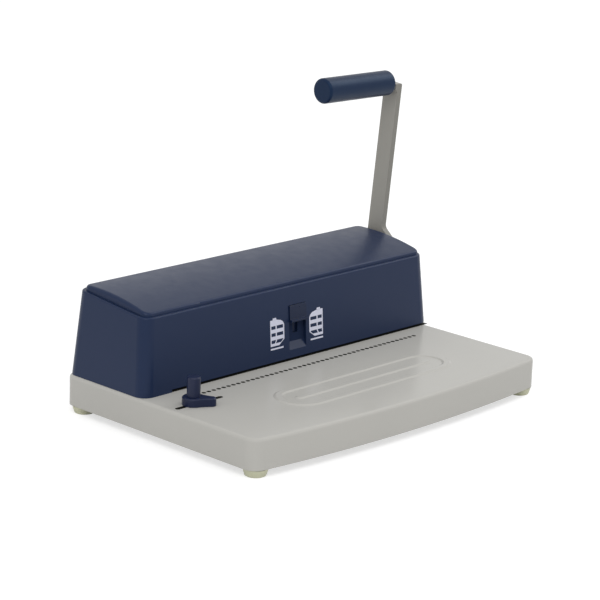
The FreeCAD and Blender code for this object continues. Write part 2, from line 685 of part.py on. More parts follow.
def punch_bar():
    outline = [(PIN_SEAT_Y, RAM_Z), (RAM_REAR_Y, RAM_Z), (RAM_REAR_Y, RAM_TOP), (RAM_FRONT_Y, RAM_TOP),
               (RAM_FRONT_Y, PIN_TOP_Z), (PIN_SEAT_Y, PIN_TOP_Z)]
    bar = prism_x(outline, -RAM_HALF_LENGTH, RAM_HALF_LENGTH)
    reach = POST_X + EAR_MARGIN
    ears = box(-reach, reach, RAM_FRONT_Y, RAM_REAR_Y, RAM_TOP - EAR_THICKNESS, RAM_TOP)
    bar = bar.fuse(ears)
    bores = [rod(POST_DIAMETER + 2 * POST_CLEARANCE, RAM_HEIGHT * 2, Vector(side * POST_X, POST_Y, RAM_Z))
             for side in (-1, 1)]
    taps = [rod(CLAMP_SCREW_DIAMETER, RAM_BACK, Vector(x, RAM_FRONT_Y, clamp_screw_z()), Y_AXIS)
            for x in clamp_screw_places()]
    for side in (-1, 1):
        for z in rack_screw_heights():
            start = Vector(side * RACK_X, RAM_REAR_Y, z)
            taps.append(rod(RACK_SCREW_DIAMETER, RAM_BACK / 2, start, Y_AXIS * -1))
    return bar.cut(bores + taps).removeSplitter()


def clamp_screw_z():
    return RAM_TOP - RAM_SHOULDER / 2


def pin_clamp():
    plate = box(-RAM_HALF_LENGTH, RAM_HALF_LENGTH, CLAMP_FRONT_Y, RAM_FRONT_Y, RAM_Z, RAM_TOP)
    holes = [rod(CLAMP_SCREW_DIAMETER, CLAMP_THICKNESS, Vector(x, CLAMP_FRONT_Y, clamp_screw_z()), Y_AXIS)
             for x in clamp_screw_places()]
    return plate.cut(holes)


def clamp_screws():
    return [screw(CLAMP_SCREW_DIAMETER, CLAMP_SCREW_HEAD, CLAMP_SCREW_HEAD_HEIGHT,
                  CLAMP_THICKNESS + RAM_BACK, Vector(x, CLAMP_FRONT_Y, clamp_screw_z()), Y_AXIS)
            for x in clamp_screw_places()]


def punch_pins():
    return [rod(PIN_DIAMETER, PIN_LENGTH, Vector(x, PUNCH_ROW_Y, PIN_TIP_Z)) for x in hole_places()]


def rack_screw_heights():
    lower = RAM_Z + RACK_SCREW_RISE
    return [lower, lower + RACK_SCREW_PITCH]


def rack_seat_y():
    return RACK_ROOT_Y - RACK_SCREW_HEAD_HEIGHT - RACK_SEAT_GAP


def rack(side):
    """Toothed bar on the back of the ram, with one tooth centred level with the shaft."""
    pitch = math.pi * GEAR_MODULE
    slope = math.tan(math.radians(PRESSURE_ANGLE_DEG))
    tip_y = RACK_PITCH_Y + RACK_ADDENDUM
    root_half = pitch / 4 + RACK_DEDENDUM * slope
    tip_half = pitch / 4 - RACK_ADDENDUM * slope
    lowest = -2
    highest = lowest + math.ceil(RAM_TRAVEL / pitch) + 4
    outline = [(RAM_REAR_Y, RAM_Z), (RACK_ROOT_Y, RAM_Z)]
    for index in range(lowest, highest + 1):
        z = SHAFT_Z + index * pitch
        outline += [(RACK_ROOT_Y, z - root_half), (tip_y, z - tip_half),
                    (tip_y, z + tip_half), (RACK_ROOT_Y, z + root_half)]
    top = SHAFT_Z + highest * pitch + root_half + GEAR_MODULE
    outline += [(RACK_ROOT_Y, top), (RAM_REAR_Y, top)]
    body = prism_x(outline, side * RACK_X - RACK_WIDTH / 2, side * RACK_X + RACK_WIDTH / 2)
    cuts = []
    for z in rack_screw_heights():
        start = Vector(side * RACK_X, RAM_REAR_Y, z)
        seat = Vector(side * RACK_X, rack_seat_y(), z)
        cuts.append(rod(RACK_SCREW_DIAMETER, RACK_BODY, start, Y_AXIS))
        cuts.append(rod(RACK_SCREW_HEAD + 2 * RACK_SEAT_GAP, RACK_BODY, seat, Y_AXIS))
    return body.cut(cuts)


def rack_screws():
    grip = rack_seat_y() - RAM_REAR_Y + RAM_BACK / 2
    return [screw(RACK_SCREW_DIAMETER, RACK_SCREW_HEAD, RACK_SCREW_HEAD_HEIGHT, grip,
                  Vector(side * RACK_X, rack_seat_y(), z), Y_AXIS * -1)
            for side in (-1, 1) for z in rack_screw_heights()]


# Drive shaft, its bearings and pinions
def involute_flank(half_angle, sign):
    """Points up one flank of a tooth, from the root circle to the tip circle, about the X axis."""
    base = PINION_RADIUS * math.cos(math.radians(PRESSURE_ANGLE_DEG))
    tip = PINION_RADIUS + PINION_ADDENDUM
    root = PINION_RADIUS - PINION_DEDENDUM
    at_pitch = math.tan(math.radians(PRESSURE_ANGLE_DEG)) - math.radians(PRESSURE_ANGLE_DEG)
    steps = 4
    flank = []
    for step in range(steps + 1):
        radius = base + (tip - base) * step / steps
        pressure = math.acos(min(1.0, base / radius))
        angle = sign * (half_angle + at_pitch - (math.tan(pressure) - pressure))
        flank.append((radius, angle))
    foot_angle = flank[0][1]
    return [(root, foot_angle)] + flank


def pinion(side):
    """Involute pinion with a tooth space facing the rack at rest."""
    half_tooth = (math.pi * GEAR_MODULE / 2 - TOOTH_THINNING) / 2 / PINION_RADIUS
    outline = []
    for index in range(PINION_TEETH):
        middle = math.pi + (index + 0.5) * 2 * math.pi / PINION_TEETH
        rising = involute_flank(half_tooth, -1)
        falling = list(reversed(involute_flank(half_tooth, 1)))
        for radius, angle in rising + falling:
            outline.append((SHAFT_Y + radius * math.cos(middle + angle),
                            SHAFT_Z + radius * math.sin(middle + angle)))
    x0 = side * RACK_X - PINION_WIDTH / 2
    gear = prism_x(outline, x0, x0 + PINION_WIDTH)
    return gear.cut(rod(SHAFT_DIAMETER, PINION_WIDTH, Vector(x0, SHAFT_Y, SHAFT_Z), X_AXIS))


def drive_shaft():
    left = -FRAME_OUTER_X - SHAFT_LEFT_OVERHANG
    round_end = FRAME_OUTER_X + SHAFT_RIGHT_OVERHANG
    body = rod(SHAFT_DIAMETER, round_end - left, Vector(left, SHAFT_Y, SHAFT_Z), X_AXIS)
    half = SHAFT_SQUARE / 2
    square = box(round_end, BAR_X, SHAFT_Y - half, SHAFT_Y + half, SHAFT_Z - half, SHAFT_Z + half)
    tap_start = Vector(BAR_X - LEVER_SCREW_DEPTH, SHAFT_Y, SHAFT_Z)
    tap = rod(LEVER_SCREW_DIAMETER, LEVER_SCREW_DEPTH, tap_start, X_AXIS)
    return body.fuse(square).cut(tap)


def shaft_collar():
    start = Vector(-FRAME_OUTER_X - SHAFT_LEFT_OVERHANG, SHAFT_Y, SHAFT_Z)
    length = SHAFT_LEFT_OVERHANG - COLLAR_GAP
    return rod(COLLAR_DIAMETER, length, start, X_AXIS).cut(rod(SHAFT_DIAMETER, length, start, X_AXIS))


def bush_right():
    start = Vector(BLOCK_HALF_LENGTH - BUSH_FLANGE_THICKNESS, SHAFT_Y, SHAFT_Z)
    flange = rod(BUSH_FLANGE, BUSH_FLANGE_THICKNESS, start, X_AXIS)
    body = rod(BUSH_OUTER, BUSH_FLANGE_THICKNESS + FRAME_THICKNESS, start, X_AXIS)
    bore = rod(SHAFT_DIAMETER + 2 * BUSH_CLEARANCE, BUSH_FLANGE_THICKNESS + FRAME_THICKNESS, start, X_AXIS)
    return flange.fuse(body).cut(bore).removeSplitter()


# Side frames, tie bars and their fixings
def frame_screw_places():
    x = FRAME_OUTER_X + FLANGE_WIDTH / 2
    ys = (FRAME_FRONT_Y + FRAME_SCREW_INSET, FRAME_REAR_Y - FRAME_SCREW_INSET)
    return [(side * x, y) for side in (-1, 1) for y in ys]


def frame_right():
    outline = [(FRAME_FRONT_Y, DECK_Z), (FRAME_REAR_Y, DECK_Z),
               (FRAME_REAR_Y, DECK_Z + FRAME_REAR_EDGE_HEIGHT),
               (FRAME_REAR_Y - FRAME_REAR_CUT, FRAME_TOP_Z), (FRAME_FRONT_Y + FRAME_FRONT_CUT, FRAME_TOP_Z),
               (FRAME_FRONT_Y, FRAME_TOP_Z - FRAME_FRONT_CUT_HEIGHT)]
    plate = prism_x(outline, BLOCK_HALF_LENGTH, FRAME_OUTER_X)
    flange = box(FRAME_OUTER_X, FRAME_OUTER_X + FLANGE_WIDTH, FRAME_FRONT_Y, FRAME_REAR_Y,
                 DECK_Z, DECK_Z + FLANGE_THICKNESS)
    cuts = [rod(BUSH_OUTER, FRAME_THICKNESS, Vector(BLOCK_HALF_LENGTH, SHAFT_Y, SHAFT_Z), X_AXIS)]
    for x, y in frame_screw_places():
        cuts.append(rod(FRAME_SCREW_DIAMETER, FLANGE_THICKNESS, Vector(x, y, DECK_Z)))
    return plate.fuse(flange).cut(cuts).removeSplitter()


def frame_fixings():
    grip = FLANGE_THICKNESS + TRAY_SHEET + FRAME_NUT_HEIGHT + FRAME_SCREW_TAIL
    solids = []
    for x, y in frame_screw_places():
        seat = Vector(x, y, DECK_Z + FLANGE_THICKNESS)
        solids.append(screw(FRAME_SCREW_DIAMETER, FRAME_SCREW_HEAD, FRAME_SCREW_HEAD_HEIGHT, grip,
                            seat, Z_AXIS * -1))
        nut_z = DECK_UNDERSIDE - FRAME_NUT_HEIGHT
        half = FRAME_NUT_SIZE / 2
        nut = box(x - half, x + half, y - half, y + half, nut_z, DECK_UNDERSIDE)
        solids.append(nut.cut(rod(FRAME_SCREW_DIAMETER, FRAME_NUT_HEIGHT, Vector(x, y, nut_z))))
    return solids


def tie_bars():
    low = Vector(-BLOCK_HALF_LENGTH, FRAME_REAR_Y - LOW_TIE_BAR_INSET, DECK_Z + LOW_TIE_BAR_ABOVE_DECK)
    high = Vector(-BLOCK_HALF_LENGTH, SHAFT_Y + HIGH_TIE_BAR_BEHIND_SHAFT, SHAFT_Z + HIGH_TIE_BAR_ABOVE_SHAFT)
    return [rod(TIE_BAR_DIAMETER, 2 * BLOCK_HALF_LENGTH, start, X_AXIS) for start in (low, high)]


# Cover shell and lid
def cover_outline(inset, z, right_reach):
    """Plan outline of the cover at a height, drawn in by its draft and by the inset."""
    drawn = inset + (z - DECK_Z) * DRAFT
    left = COVER_LEFT_X + drawn
    right = COVER_RIGHT_X + right_reach - drawn
    front = COVER_FRONT_Y + drawn
    rear = COVER_REAR_Y - drawn
    rf = COVER_FRONT_CORNER - inset
    rr = COVER_REAR_CORNER - inset
    diagonal = 1 - math.sqrt(0.5)
    edges = []

    def corner(x, y, radius, from_x, from_y, to_x, to_y):
        start = Vector(x + from_x * radius, y + from_y * radius, z)
        end = Vector(x + to_x * radius, y + to_y * radius, z)
        middle = Vector(x + (from_x + to_x) * radius * diagonal, y + (from_y + to_y) * radius * diagonal, z)
        return start, Part.Arc(start, middle, end).toShape(), end

    corners = [corner(right, front, rf, -1, 0, 0, 1), corner(right, rear, rr, 0, -1, -1, 0),
               corner(left, rear, rr, 1, 0, 0, -1), corner(left, front, rf, 0, 1, 1, 0)]
    for index, (start, arc, end) in enumerate(corners):
        following = corners[(index + 1) % len(corners)][0]
        edges += [arc, Part.makeLine(end, following)]
    return Part.Wire(edges)


def cover_block(inset, z0, right_reach=0):
    top = LEDGE_Z + LOFT_ABOVE_LEDGE
    outlines = [cover_outline(inset, z, right_reach) for z in (z0, top)]
    return Part.makeLoft(outlines, True, True)


def slope_height(y, rise):
    return LEDGE_Z + (y - LEDGE_Y) * LID_SLOPE + rise


def under_slope(rise):
    """Everything below the sloping plane that lies the given height above the ledge."""
    return prism_x([(-FAR, -FAR), (FAR, -FAR), (FAR, slope_height(FAR, rise)),
                    (-FAR, slope_height(-FAR, rise))], -FAR, FAR)


def crown_circle():
    """Centre (y, z) and radius of the arc that the lid's top follows from front to rear."""
    front_y = LEDGE_Y + LID_INSET
    rear_y = COVER_REAR_Y - (LEDGE_Z - DECK_Z) * DRAFT - LID_INSET
    front_z = slope_height(front_y, LID_FRONT_RISE)
    rear_z = slope_height(rear_y, LID_REAR_RISE)
    run = rear_y - front_y
    climb = rear_z - front_z
    chord = math.hypot(run, climb)
    radius = chord ** 2 / (8 * LID_CROWN) + LID_CROWN / 2
    drop = radius - LID_CROWN
    centre_y = (front_y + rear_y) / 2 + climb / chord * drop
    centre_z = (front_z + rear_z) / 2 - run / chord * drop
    return centre_y, centre_z, radius


def under_crown(depth):
    """Everything from below the deck up to the lid's crowned top, less the depth."""
    centre_y, centre_z, radius = crown_circle()

    def on_arc(y):
        return Vector(-FAR, y, centre_z + math.sqrt((radius - depth) ** 2 - (y - centre_y) ** 2))

    start = on_arc(COVER_FRONT_Y)
    end = on_arc(COVER_REAR_Y)
    arc = Part.Arc(start, on_arc((COVER_FRONT_Y + COVER_REAR_Y) / 2), end).toShape()
    low = DECK_Z - OVERRUN
    sides = Part.makePolygon([end, Vector(-FAR, end.y, low), Vector(-FAR, start.y, low), start])
    return Part.Face(Part.Wire([arc] + sides.Edges)).extrude(Vector(2 * FAR, 0, 0))


def wall_place(shape):
    """Move a shape drawn on the upright Y = 0 plane onto the leaning front wall, at the selector."""
    placed = shape.copy()
    placed.rotate(Vector(0, 0, 0), X_AXIS, -COVER_DRAFT_DEG)
    placed.translate(Vector(SELECTOR_X, COVER_FRONT_Y + (SELECTOR_Z - DECK_Z) * DRAFT, SELECTOR_Z))
    return placed


def cover_shell():
    shell = cover_block(0, DECK_Z).common(under_slope(0))
    shell = shell.makeFillet(RIM_ROUND, [e for e in shell.Edges if on_slope(e)])
    hollow = cover_block(COVER_WALL, DECK_Z - OVERRUN).common(under_slope(-COVER_WALL))
    mouth = cover_block(COVER_WALL + LEDGE_RING, DECK_Z - OVERRUN)
    inside_x = COVER_RIGHT_X - COVER_WALL
    cover_foot = box(inside_x - COVER_FOOT_REACH, inside_x + COVER_WALL / 2,
                     COVER_FRONT_Y + COVER_FRONT_CORNER, COVER_REAR_Y - COVER_REAR_CORNER,
                     DECK_Z, DECK_Z + COVER_FOOT_THICKNESS)
    shell = shell.cut([hollow, mouth]).fuse(cover_foot)
    half_w = POCKET_WIDTH / 2
    half_h = POCKET_HEIGHT / 2
    wall = POCKET_WALL
    socket = box(-half_w - wall, half_w + wall, COVER_WALL / 2, POCKET_DEPTH + wall,
                 -half_h - wall, half_h + wall)
    recess = prism_x([(-COVER_WALL, half_h), (POCKET_DEPTH, half_h), (POCKET_DEPTH, -half_h + POCKET_LIP),
                      (0, -half_h), (-COVER_WALL, -half_h)], -half_w, half_w)
    shank_x = SHANK_WIDTH / 2 + SHANK_GAP
    shank_z = SHANK_HEIGHT / 2 + SHANK_GAP
    slot = box(-shank_x, shank_x, 0, POCKET_DEPTH + 2 * wall,
               button_middle() - SELECTOR_TRAVEL - shank_z, button_middle() + shank_z)
    shell = shell.fuse(wall_place(socket)).cut([wall_place(recess), wall_place(slot)])
    throat = box(THROAT_LEFT_X, COVER_RIGHT_X + OVERRUN, COVER_FRONT_Y - OVERRUN,
                 COVER_FRONT_Y + COVER_FRONT_CORNER, DECK_Z - OVERRUN, GUIDE_Z)
    hub_hole = rod(BOSS_DIAMETER + 2 * BOSS_HOLE_GAP, BAR_OUTER_X - FRAME_OUTER_X,
                   Vector(FRAME_OUTER_X, SHAFT_Y, SHAFT_Z), X_AXIS)
    screw_holes = [rod(COVER_SCREW_DIAMETER, 3 * COVER_WALL,
                       Vector(x, COVER_REAR_Y - 2 * COVER_WALL, DECK_Z + COVER_SCREW_HEIGHT), Y_AXIS)
                   for x in (-BRACKET_X, BRACKET_X)]
    return shell.cut([throat, hub_hole] + screw_holes).removeSplitter()


def cover_lid():
    lid = cover_block(LID_INSET, DECK_Z, LID_RIGHT_REACH).common(under_crown(0)).cut(under_slope(0))
    lid = lid.makeFillet(LID_EDGE_RADIUS, [e for e in lid.Edges if on_crown(e)])
    hollow = cover_block(LID_INSET + LID_WALL, DECK_Z, LID_RIGHT_REACH).common(under_crown(LID_WALL))
    lid = lid.cut(hollow)
    lip_inset = COVER_WALL + LEDGE_RING + LID_LIP_GAP
    band = under_crown(LID_WALL / 2).cut(under_slope(-LID_LIP_DEPTH))
    lip = cover_block(lip_inset, DECK_Z).cut(cover_block(lip_inset + LID_WALL, DECK_Z)).common(band)
    return lid.fuse(lip).removeSplitter()


def on_slope(edge):
    """True for an edge that lies on the sloping plane of the ledge."""
    return all(abs(vertex.Z - slope_height(vertex.Y, 0)) < SAME for vertex in edge.Vertexes)


def on_crown(edge):
    centre_y, centre_z, radius = crown_circle()
    return all(abs(math.hypot(vertex.Y - centre_y, vertex.Z - centre_z) - radius) < SAME
               for vertex in edge.Vertexes)


def cover_brackets():
    rear = COVER_REAR_Y - COVER_WALL - BRACKET_HEIGHT * DRAFT - BRACKET_GAP
    solids = []
    for side in (-1, 1):
        x0 = side * BRACKET_X - BRACKET_WIDTH / 2
        foot_top = DECK_Z + BRACKET_SHEET
        outline = [(rear - BRACKET_FOOT, DECK_Z), (rear, DECK_Z), (rear, DECK_Z + BRACKET_HEIGHT),
                   (rear - BRACKET_SHEET, DECK_Z + BRACKET_HEIGHT),
                   (rear - BRACKET_SHEET, foot_top), (rear - BRACKET_FOOT, foot_top)]
        hole = rod(COVER_SCREW_DIAMETER, 2 * BRACKET_SHEET,
                   Vector(side * BRACKET_X, rear - 1.5 * BRACKET_SHEET, DECK_Z + COVER_SCREW_HEIGHT), Y_AXIS)
        solids.append(prism_x(outline, x0, x0 + BRACKET_WIDTH).cut(hole))
    return solids


def cover_screws():
    """Screws through the rear wall, each seated square to the leaning wall's outer face."""
    seat_y = COVER_REAR_Y - (COVER_SCREW_HEIGHT - COVER_SCREW_HEAD / 2) * DRAFT
    return [screw(COVER_SCREW_DIAMETER, COVER_SCREW_HEAD, COVER_SCREW_HEAD_HEIGHT - COVER_SCREW_HEAD * DRAFT,
                  3 * COVER_WALL, Vector(x, seat_y, DECK_Z + COVER_SCREW_HEIGHT), Y_AXIS * -1)
            for x in (-BRACKET_X, BRACKET_X)]


# Lever, drawn upright about the shaft and then leaned forward
def lever_place(shape):
    placed = shape.copy()
    placed.rotate(Vector(0, 0, 0), X_AXIS, BAR_LEAN_DEG)
    placed.translate(Vector(0, SHAFT_Y, SHAFT_Z))
    return placed


def crank_outline():
    """Corners of the leg from the hub up to the bar, tangent to the hub on both sides."""
    slope = math.radians(CRANK_ANGLE_DEG)
    front = BAR_OFFSET - BAR_WIDTH / 2
    rear = BAR_OFFSET + BAR_WIDTH / 2
    to_heel = math.atan2(CRANK_HEEL, rear)
    turn = math.acos(HUB_RADIUS / math.hypot(rear, CRANK_HEEL))
    return [(-HUB_RADIUS * math.sin(slope), HUB_RADIUS * math.cos(slope)), (front, CRANK_TOP),
            (rear, CRANK_TOP), (rear, CRANK_HEEL),
            (HUB_RADIUS * math.cos(to_heel - turn), HUB_RADIUS * math.sin(to_heel - turn)), (0, 0)]


def bend_centre():
    return Vector(BAR_X - BAR_BEND_RADIUS, 0, TANG_HEIGHT - BAR_THICKNESS / 2 - BAR_BEND_RADIUS)


def lever_arm():
    front = BAR_OFFSET - BAR_WIDTH / 2
    rear = BAR_OFFSET + BAR_WIDTH / 2
    bend_x = bend_centre().x
    bend_z = bend_centre().z
    leg = prism_x(crank_outline(), BAR_X, BAR_OUTER_X)
    bar = box(BAR_X, BAR_OUTER_X, front, rear, CRANK_TOP, bend_z)
    plate = leg.fuse([bar, rod(2 * HUB_RADIUS, BAR_THICKNESS, Vector(BAR_X, 0, 0), X_AXIS)]).removeSplitter()
    plate = plate.makeFillet(CRANK_INNER_FILLET, edges_along_x(plate, front, CRANK_TOP))
    plate = plate.makeFillet(CRANK_HEEL_FILLET, edges_along_x(plate, rear, CRANK_HEEL))
    section = Part.Face(Part.makePolygon([Vector(BAR_X, front, bend_z), Vector(BAR_OUTER_X, front, bend_z),
                                          Vector(BAR_OUTER_X, rear, bend_z), Vector(BAR_X, rear, bend_z),
                                          Vector(BAR_X, front, bend_z)]))
    bend = section.revolve(bend_centre(), Y_AXIS, -BEND_DEG)
    low = TANG_HEIGHT - BAR_THICKNESS / 2
    top = low + BAR_THICKNESS
    corner = box(BAR_X, BAR_OUTER_X, front, rear, bend_z, top)
    corner = corner.fuse(box(bend_x, BAR_OUTER_X, front, rear, low, top)).removeSplitter()
    outer_edge = [e for e in corner.Edges if e.BoundBox.XMin > BAR_X + SAME and e.BoundBox.ZMin > low + SAME]
    corner = corner.makeFillet(BAR_CORNER_RADIUS, outer_edge)
    tang_left = GRIP_RIGHT_X - GRIP_LENGTH + TANG_END_INSET
    tang = box(tang_left, bend_x, BAR_OFFSET - TANG_WIDTH / 2, BAR_OFFSET + TANG_WIDTH / 2, low, top)
    tang.rotate(bend_centre(), Y_AXIS, 90 - BEND_DEG)
    boss_x = FRAME_OUTER_X + BOSS_FRAME_GAP
    boss = rod(BOSS_DIAMETER, BAR_X - boss_x, Vector(boss_x, 0, 0), X_AXIS)
    half = SHAFT_SQUARE / 2
    socket = box(boss_x - OVERRUN, BAR_X, -half, half, -half, half)
    socket.rotate(Vector(0, 0, 0), X_AXIS, -BAR_LEAN_DEG)
    screw_hole = rod(LEVER_SCREW_DIAMETER, BAR_THICKNESS, Vector(BAR_X, 0, 0), X_AXIS)
    arm = plate.fuse([bend, corner, tang, boss]).cut([socket, screw_hole]).removeSplitter()
    return lever_place(arm)


def edges_along_x(shape, y, z):
    found = []
    for edge in shape.Edges:
        bounds = edge.BoundBox
        if bounds.YLength + bounds.ZLength < SAME and abs(bounds.YMin - y) + abs(bounds.ZMin - z) < SAME:
            found.append(edge)
    return found


def lever_screw():
    washer = rod(LEVER_WASHER_DIAMETER, LEVER_WASHER_THICKNESS, Vector(BAR_OUTER_X, SHAFT_Y, SHAFT_Z), X_AXIS)
    grip = LEVER_WASHER_THICKNESS + BAR_THICKNESS + LEVER_SCREW_DEPTH
    bolt = screw(LEVER_SCREW_DIAMETER, LEVER_SCREW_HEAD, LEVER_SCREW_HEAD_HEIGHT, grip,
                 Vector(WASHER_X, SHAFT_Y, SHAFT_Z), X_AXIS * -1)
    return bolt, washer.cut(bolt)


def lever_grip():
    start = Vector(GRIP_RIGHT_X - GRIP_LENGTH, BAR_OFFSET, TANG_HEIGHT + GRIP_ABOVE_TANG)
    body = rod(GRIP_DIAMETER, GRIP_LENGTH, start, X_AXIS)
    rims = [e for e in body.Edges if e.BoundBox.XLength < SAME]
    body = body.makeFillet(GRIP_END_ROUND, rims)
    half_w = TANG_WIDTH / 2 + TANG_GAP
    half_t = BAR_THICKNESS / 2 + TANG_GAP
    tang_left = GRIP_RIGHT_X - GRIP_LENGTH + TANG_END_INSET - TANG_GAP
    bore = box(tang_left, GRIP_RIGHT_X + OVERRUN, BAR_OFFSET - half_w, BAR_OFFSET + half_w,
               TANG_HEIGHT - half_t, TANG_HEIGHT + half_t)
    grip = body.cut(bore)
    grip.rotate(bend_centre(), Y_AXIS, 90 - BEND_DEG)
    return lever_place(grip)


# Side stop: nut under the deck, arm and clamping knob above it
def stop_nut():
    half = STOP_NUT_SIZE / 2
    top = DECK_UNDERSIDE - STOP_NUT_GAP
    nut = box(STOP_X - half, STOP_X + half, SLOT_Y - half, SLOT_Y + half, top - STOP_NUT_HEIGHT, top)
    key = SLOT_WIDTH / 2 - STOP_KEY_GAP
    reach = STOP_KEY_LENGTH / 2
    tongue = box(STOP_X - reach, STOP_X + reach, SLOT_Y - key, SLOT_Y + key, top, DECK_Z - STOP_KEY_GAP)
    bore = rod(STOP_STUD_DIAMETER + 2 * STOP_KEY_GAP, STOP_NUT_HEIGHT * 3,
               Vector(STOP_X, SLOT_Y, top - STOP_NUT_HEIGHT - OVERRUN))
    return nut.fuse(tongue).cut(bore)


def stop_arm():
    """Arm of a round boss and a small round nose, joined by hollow flanks that touch both."""
    z = DECK_Z + STOP_ARM_GAP
    nose = STOP_NOSE_REACH - STOP_NOSE_RADIUS
    to_boss = STOP_FLANK_RADIUS + STOP_BOSS_RADIUS
    to_nose = STOP_FLANK_RADIUS + STOP_NOSE_RADIUS
    flank_x = (to_boss ** 2 - to_nose ** 2 + nose ** 2) / (2 * nose)
    flank_y = math.sqrt(to_boss ** 2 - flank_x ** 2)
    boss_touch = Vector(flank_x, flank_y, 0) * (STOP_BOSS_RADIUS / to_boss)
    nose_touch = Vector(nose, 0, 0) + Vector(flank_x - nose, flank_y, 0) * (STOP_NOSE_RADIUS / to_nose)
    centre = Vector(flank_x, flank_y, 0)
    inward = ((boss_touch + nose_touch) * 0.5 - centre).normalize()
    waist = centre + inward * STOP_FLANK_RADIUS

    def at(point, side):
        return Vector(point.x, point.y * side, z)

    edges = [Part.Arc(at(boss_touch, 1), Vector(-STOP_BOSS_RADIUS, 0, z), at(boss_touch, -1)).toShape(),
             Part.Arc(at(boss_touch, -1), at(waist, -1), at(nose_touch, -1)).toShape(),
             Part.Arc(at(nose_touch, -1), Vector(STOP_NOSE_REACH, 0, z), at(nose_touch, 1)).toShape(),
             Part.Arc(at(nose_touch, 1), at(waist, 1), at(boss_touch, 1)).toShape()]
    arm = Part.Face(Part.Wire(edges)).extrude(Vector(0, 0, STOP_ARM_HEIGHT))
    arm = arm.makeChamfer(STOP_ARM_CHAMFER, edges_at_height(arm, z + STOP_ARM_HEIGHT))
    arm = arm.cut(rod(STOP_STUD_DIAMETER + 2 * STOP_KEY_GAP, STOP_ARM_HEIGHT, Vector(0, 0, z)))
    arm.rotate(Vector(0, 0, 0), Z_AXIS, STOP_NOSE_DEG)
    arm.translate(Vector(STOP_X, SLOT_Y, 0))
    return arm


def stop_knob():
    z = DECK_Z + 2 * STOP_ARM_GAP + STOP_ARM_HEIGHT
    knob = rod(STOP_KNOB_DIAMETER, STOP_KNOB_HEIGHT, Vector(STOP_X, SLOT_Y, z))
    knob = knob.makeFillet(STOP_KNOB_ROUND, edges_at_height(knob, z + STOP_KNOB_HEIGHT))
    low = DECK_UNDERSIDE - STOP_NUT_GAP - STOP_NUT_HEIGHT - STOP_STUD_TAIL
    return knob.fuse(rod(STOP_STUD_DIAMETER, z - low, Vector(STOP_X, SLOT_Y, low)))


# Selector: button in the front wall, strap over the ram, and the depth stop
def button_middle():
    return POCKET_HEIGHT / 2 - BUTTON_GAP - BUTTON_HEIGHT / 2


def shank_end_y():
    """Distance behind the wall's face at which the button's shank meets the strap."""
    lean = math.radians(COVER_DRAFT_DEG)
    wall_y = COVER_FRONT_Y + (SELECTOR_Z - DECK_Z) * DRAFT
    return (STRAP_FRONT_Y - wall_y - button_middle() * math.sin(lean)) / math.cos(lean)


def selector_button():
    half = POCKET_WIDTH / 2 - BUTTON_GAP
    low = button_middle() - BUTTON_HEIGHT / 2
    high = low + BUTTON_HEIGHT
    face = -BUTTON_PROUD
    back = POCKET_DEPTH - BUTTON_GAP
    ridge_top = low + BUTTON_RIDGE_HEIGHT
    outline = [(back, low), (back, high), (face, high), (face, ridge_top),
               (face - BUTTON_RIDGE, ridge_top - BUTTON_RIDGE_FALL), (face - BUTTON_RIDGE, low)]
    body = prism_x(outline, -half, half)
    front_edges = [e for e in body.Edges if e.BoundBox.XLength > 1 and e.BoundBox.YMax < 0]
    body = body.makeFillet(BUTTON_EDGE_ROUND / 2, front_edges)
    shank = box(-SHANK_WIDTH / 2, SHANK_WIDTH / 2, back - OVERRUN, shank_end_y() + STRAP_SHEET,
                button_middle() - SHANK_HEIGHT / 2, button_middle() + SHANK_HEIGHT / 2)
    placed = wall_place(body.fuse([shank, shutter()]))
    behind = box(-FAR, FAR, STRAP_FRONT_Y, FAR, 0, FAR)
    return placed.cut([behind, selector_screw_shank()])


def shutter():
    """Thin plate on the shank, hiding the slot in the pocket's floor wherever the button stands."""
    half = SHANK_WIDTH / 2 + SHANK_GAP + SHUTTER_LAP
    front = POCKET_DEPTH + POCKET_WALL + SHUTTER_GAP
    reach = SHANK_HEIGHT / 2 + SHANK_GAP + SHUTTER_LAP + SELECTOR_TRAVEL
    return box(-half, half, front, front + SHUTTER_THICKNESS, button_middle() - reach, button_middle() + reach)


def selector_screw_z():
    lean = math.radians(COVER_DRAFT_DEG)
    return SELECTOR_Z + button_middle() * math.cos(lean) - shank_end_y() * math.sin(lean)


def selector_screw_shank():
    length = STRAP_SHEET + SHANK_HEIGHT
    return rod(SELECTOR_SCREW_DIAMETER, length,
               Vector(SELECTOR_X, STRAP_FRONT_Y + STRAP_SHEET - length, selector_screw_z()), Y_AXIS)


def selector_screw():
    seat = Vector(SELECTOR_X, STRAP_FRONT_Y + STRAP_SHEET, selector_screw_z())
    return selector_screw_shank().fuse(rod(SELECTOR_SCREW_HEAD, SELECTOR_SCREW_HEAD_HEIGHT, seat, Y_AXIS))


def cam_slot_end():
    """Where the follower sits in the strap once the selector is down, in the strap's rest place."""
    lean = math.radians(COVER_DRAFT_DEG)
    return (FOLLOWER_Y + DEPTH_STOP_TRAVEL + SELECTOR_TRAVEL * math.sin(lean),
            FOLLOWER_Z + SELECTOR_TRAVEL * math.cos(lean))


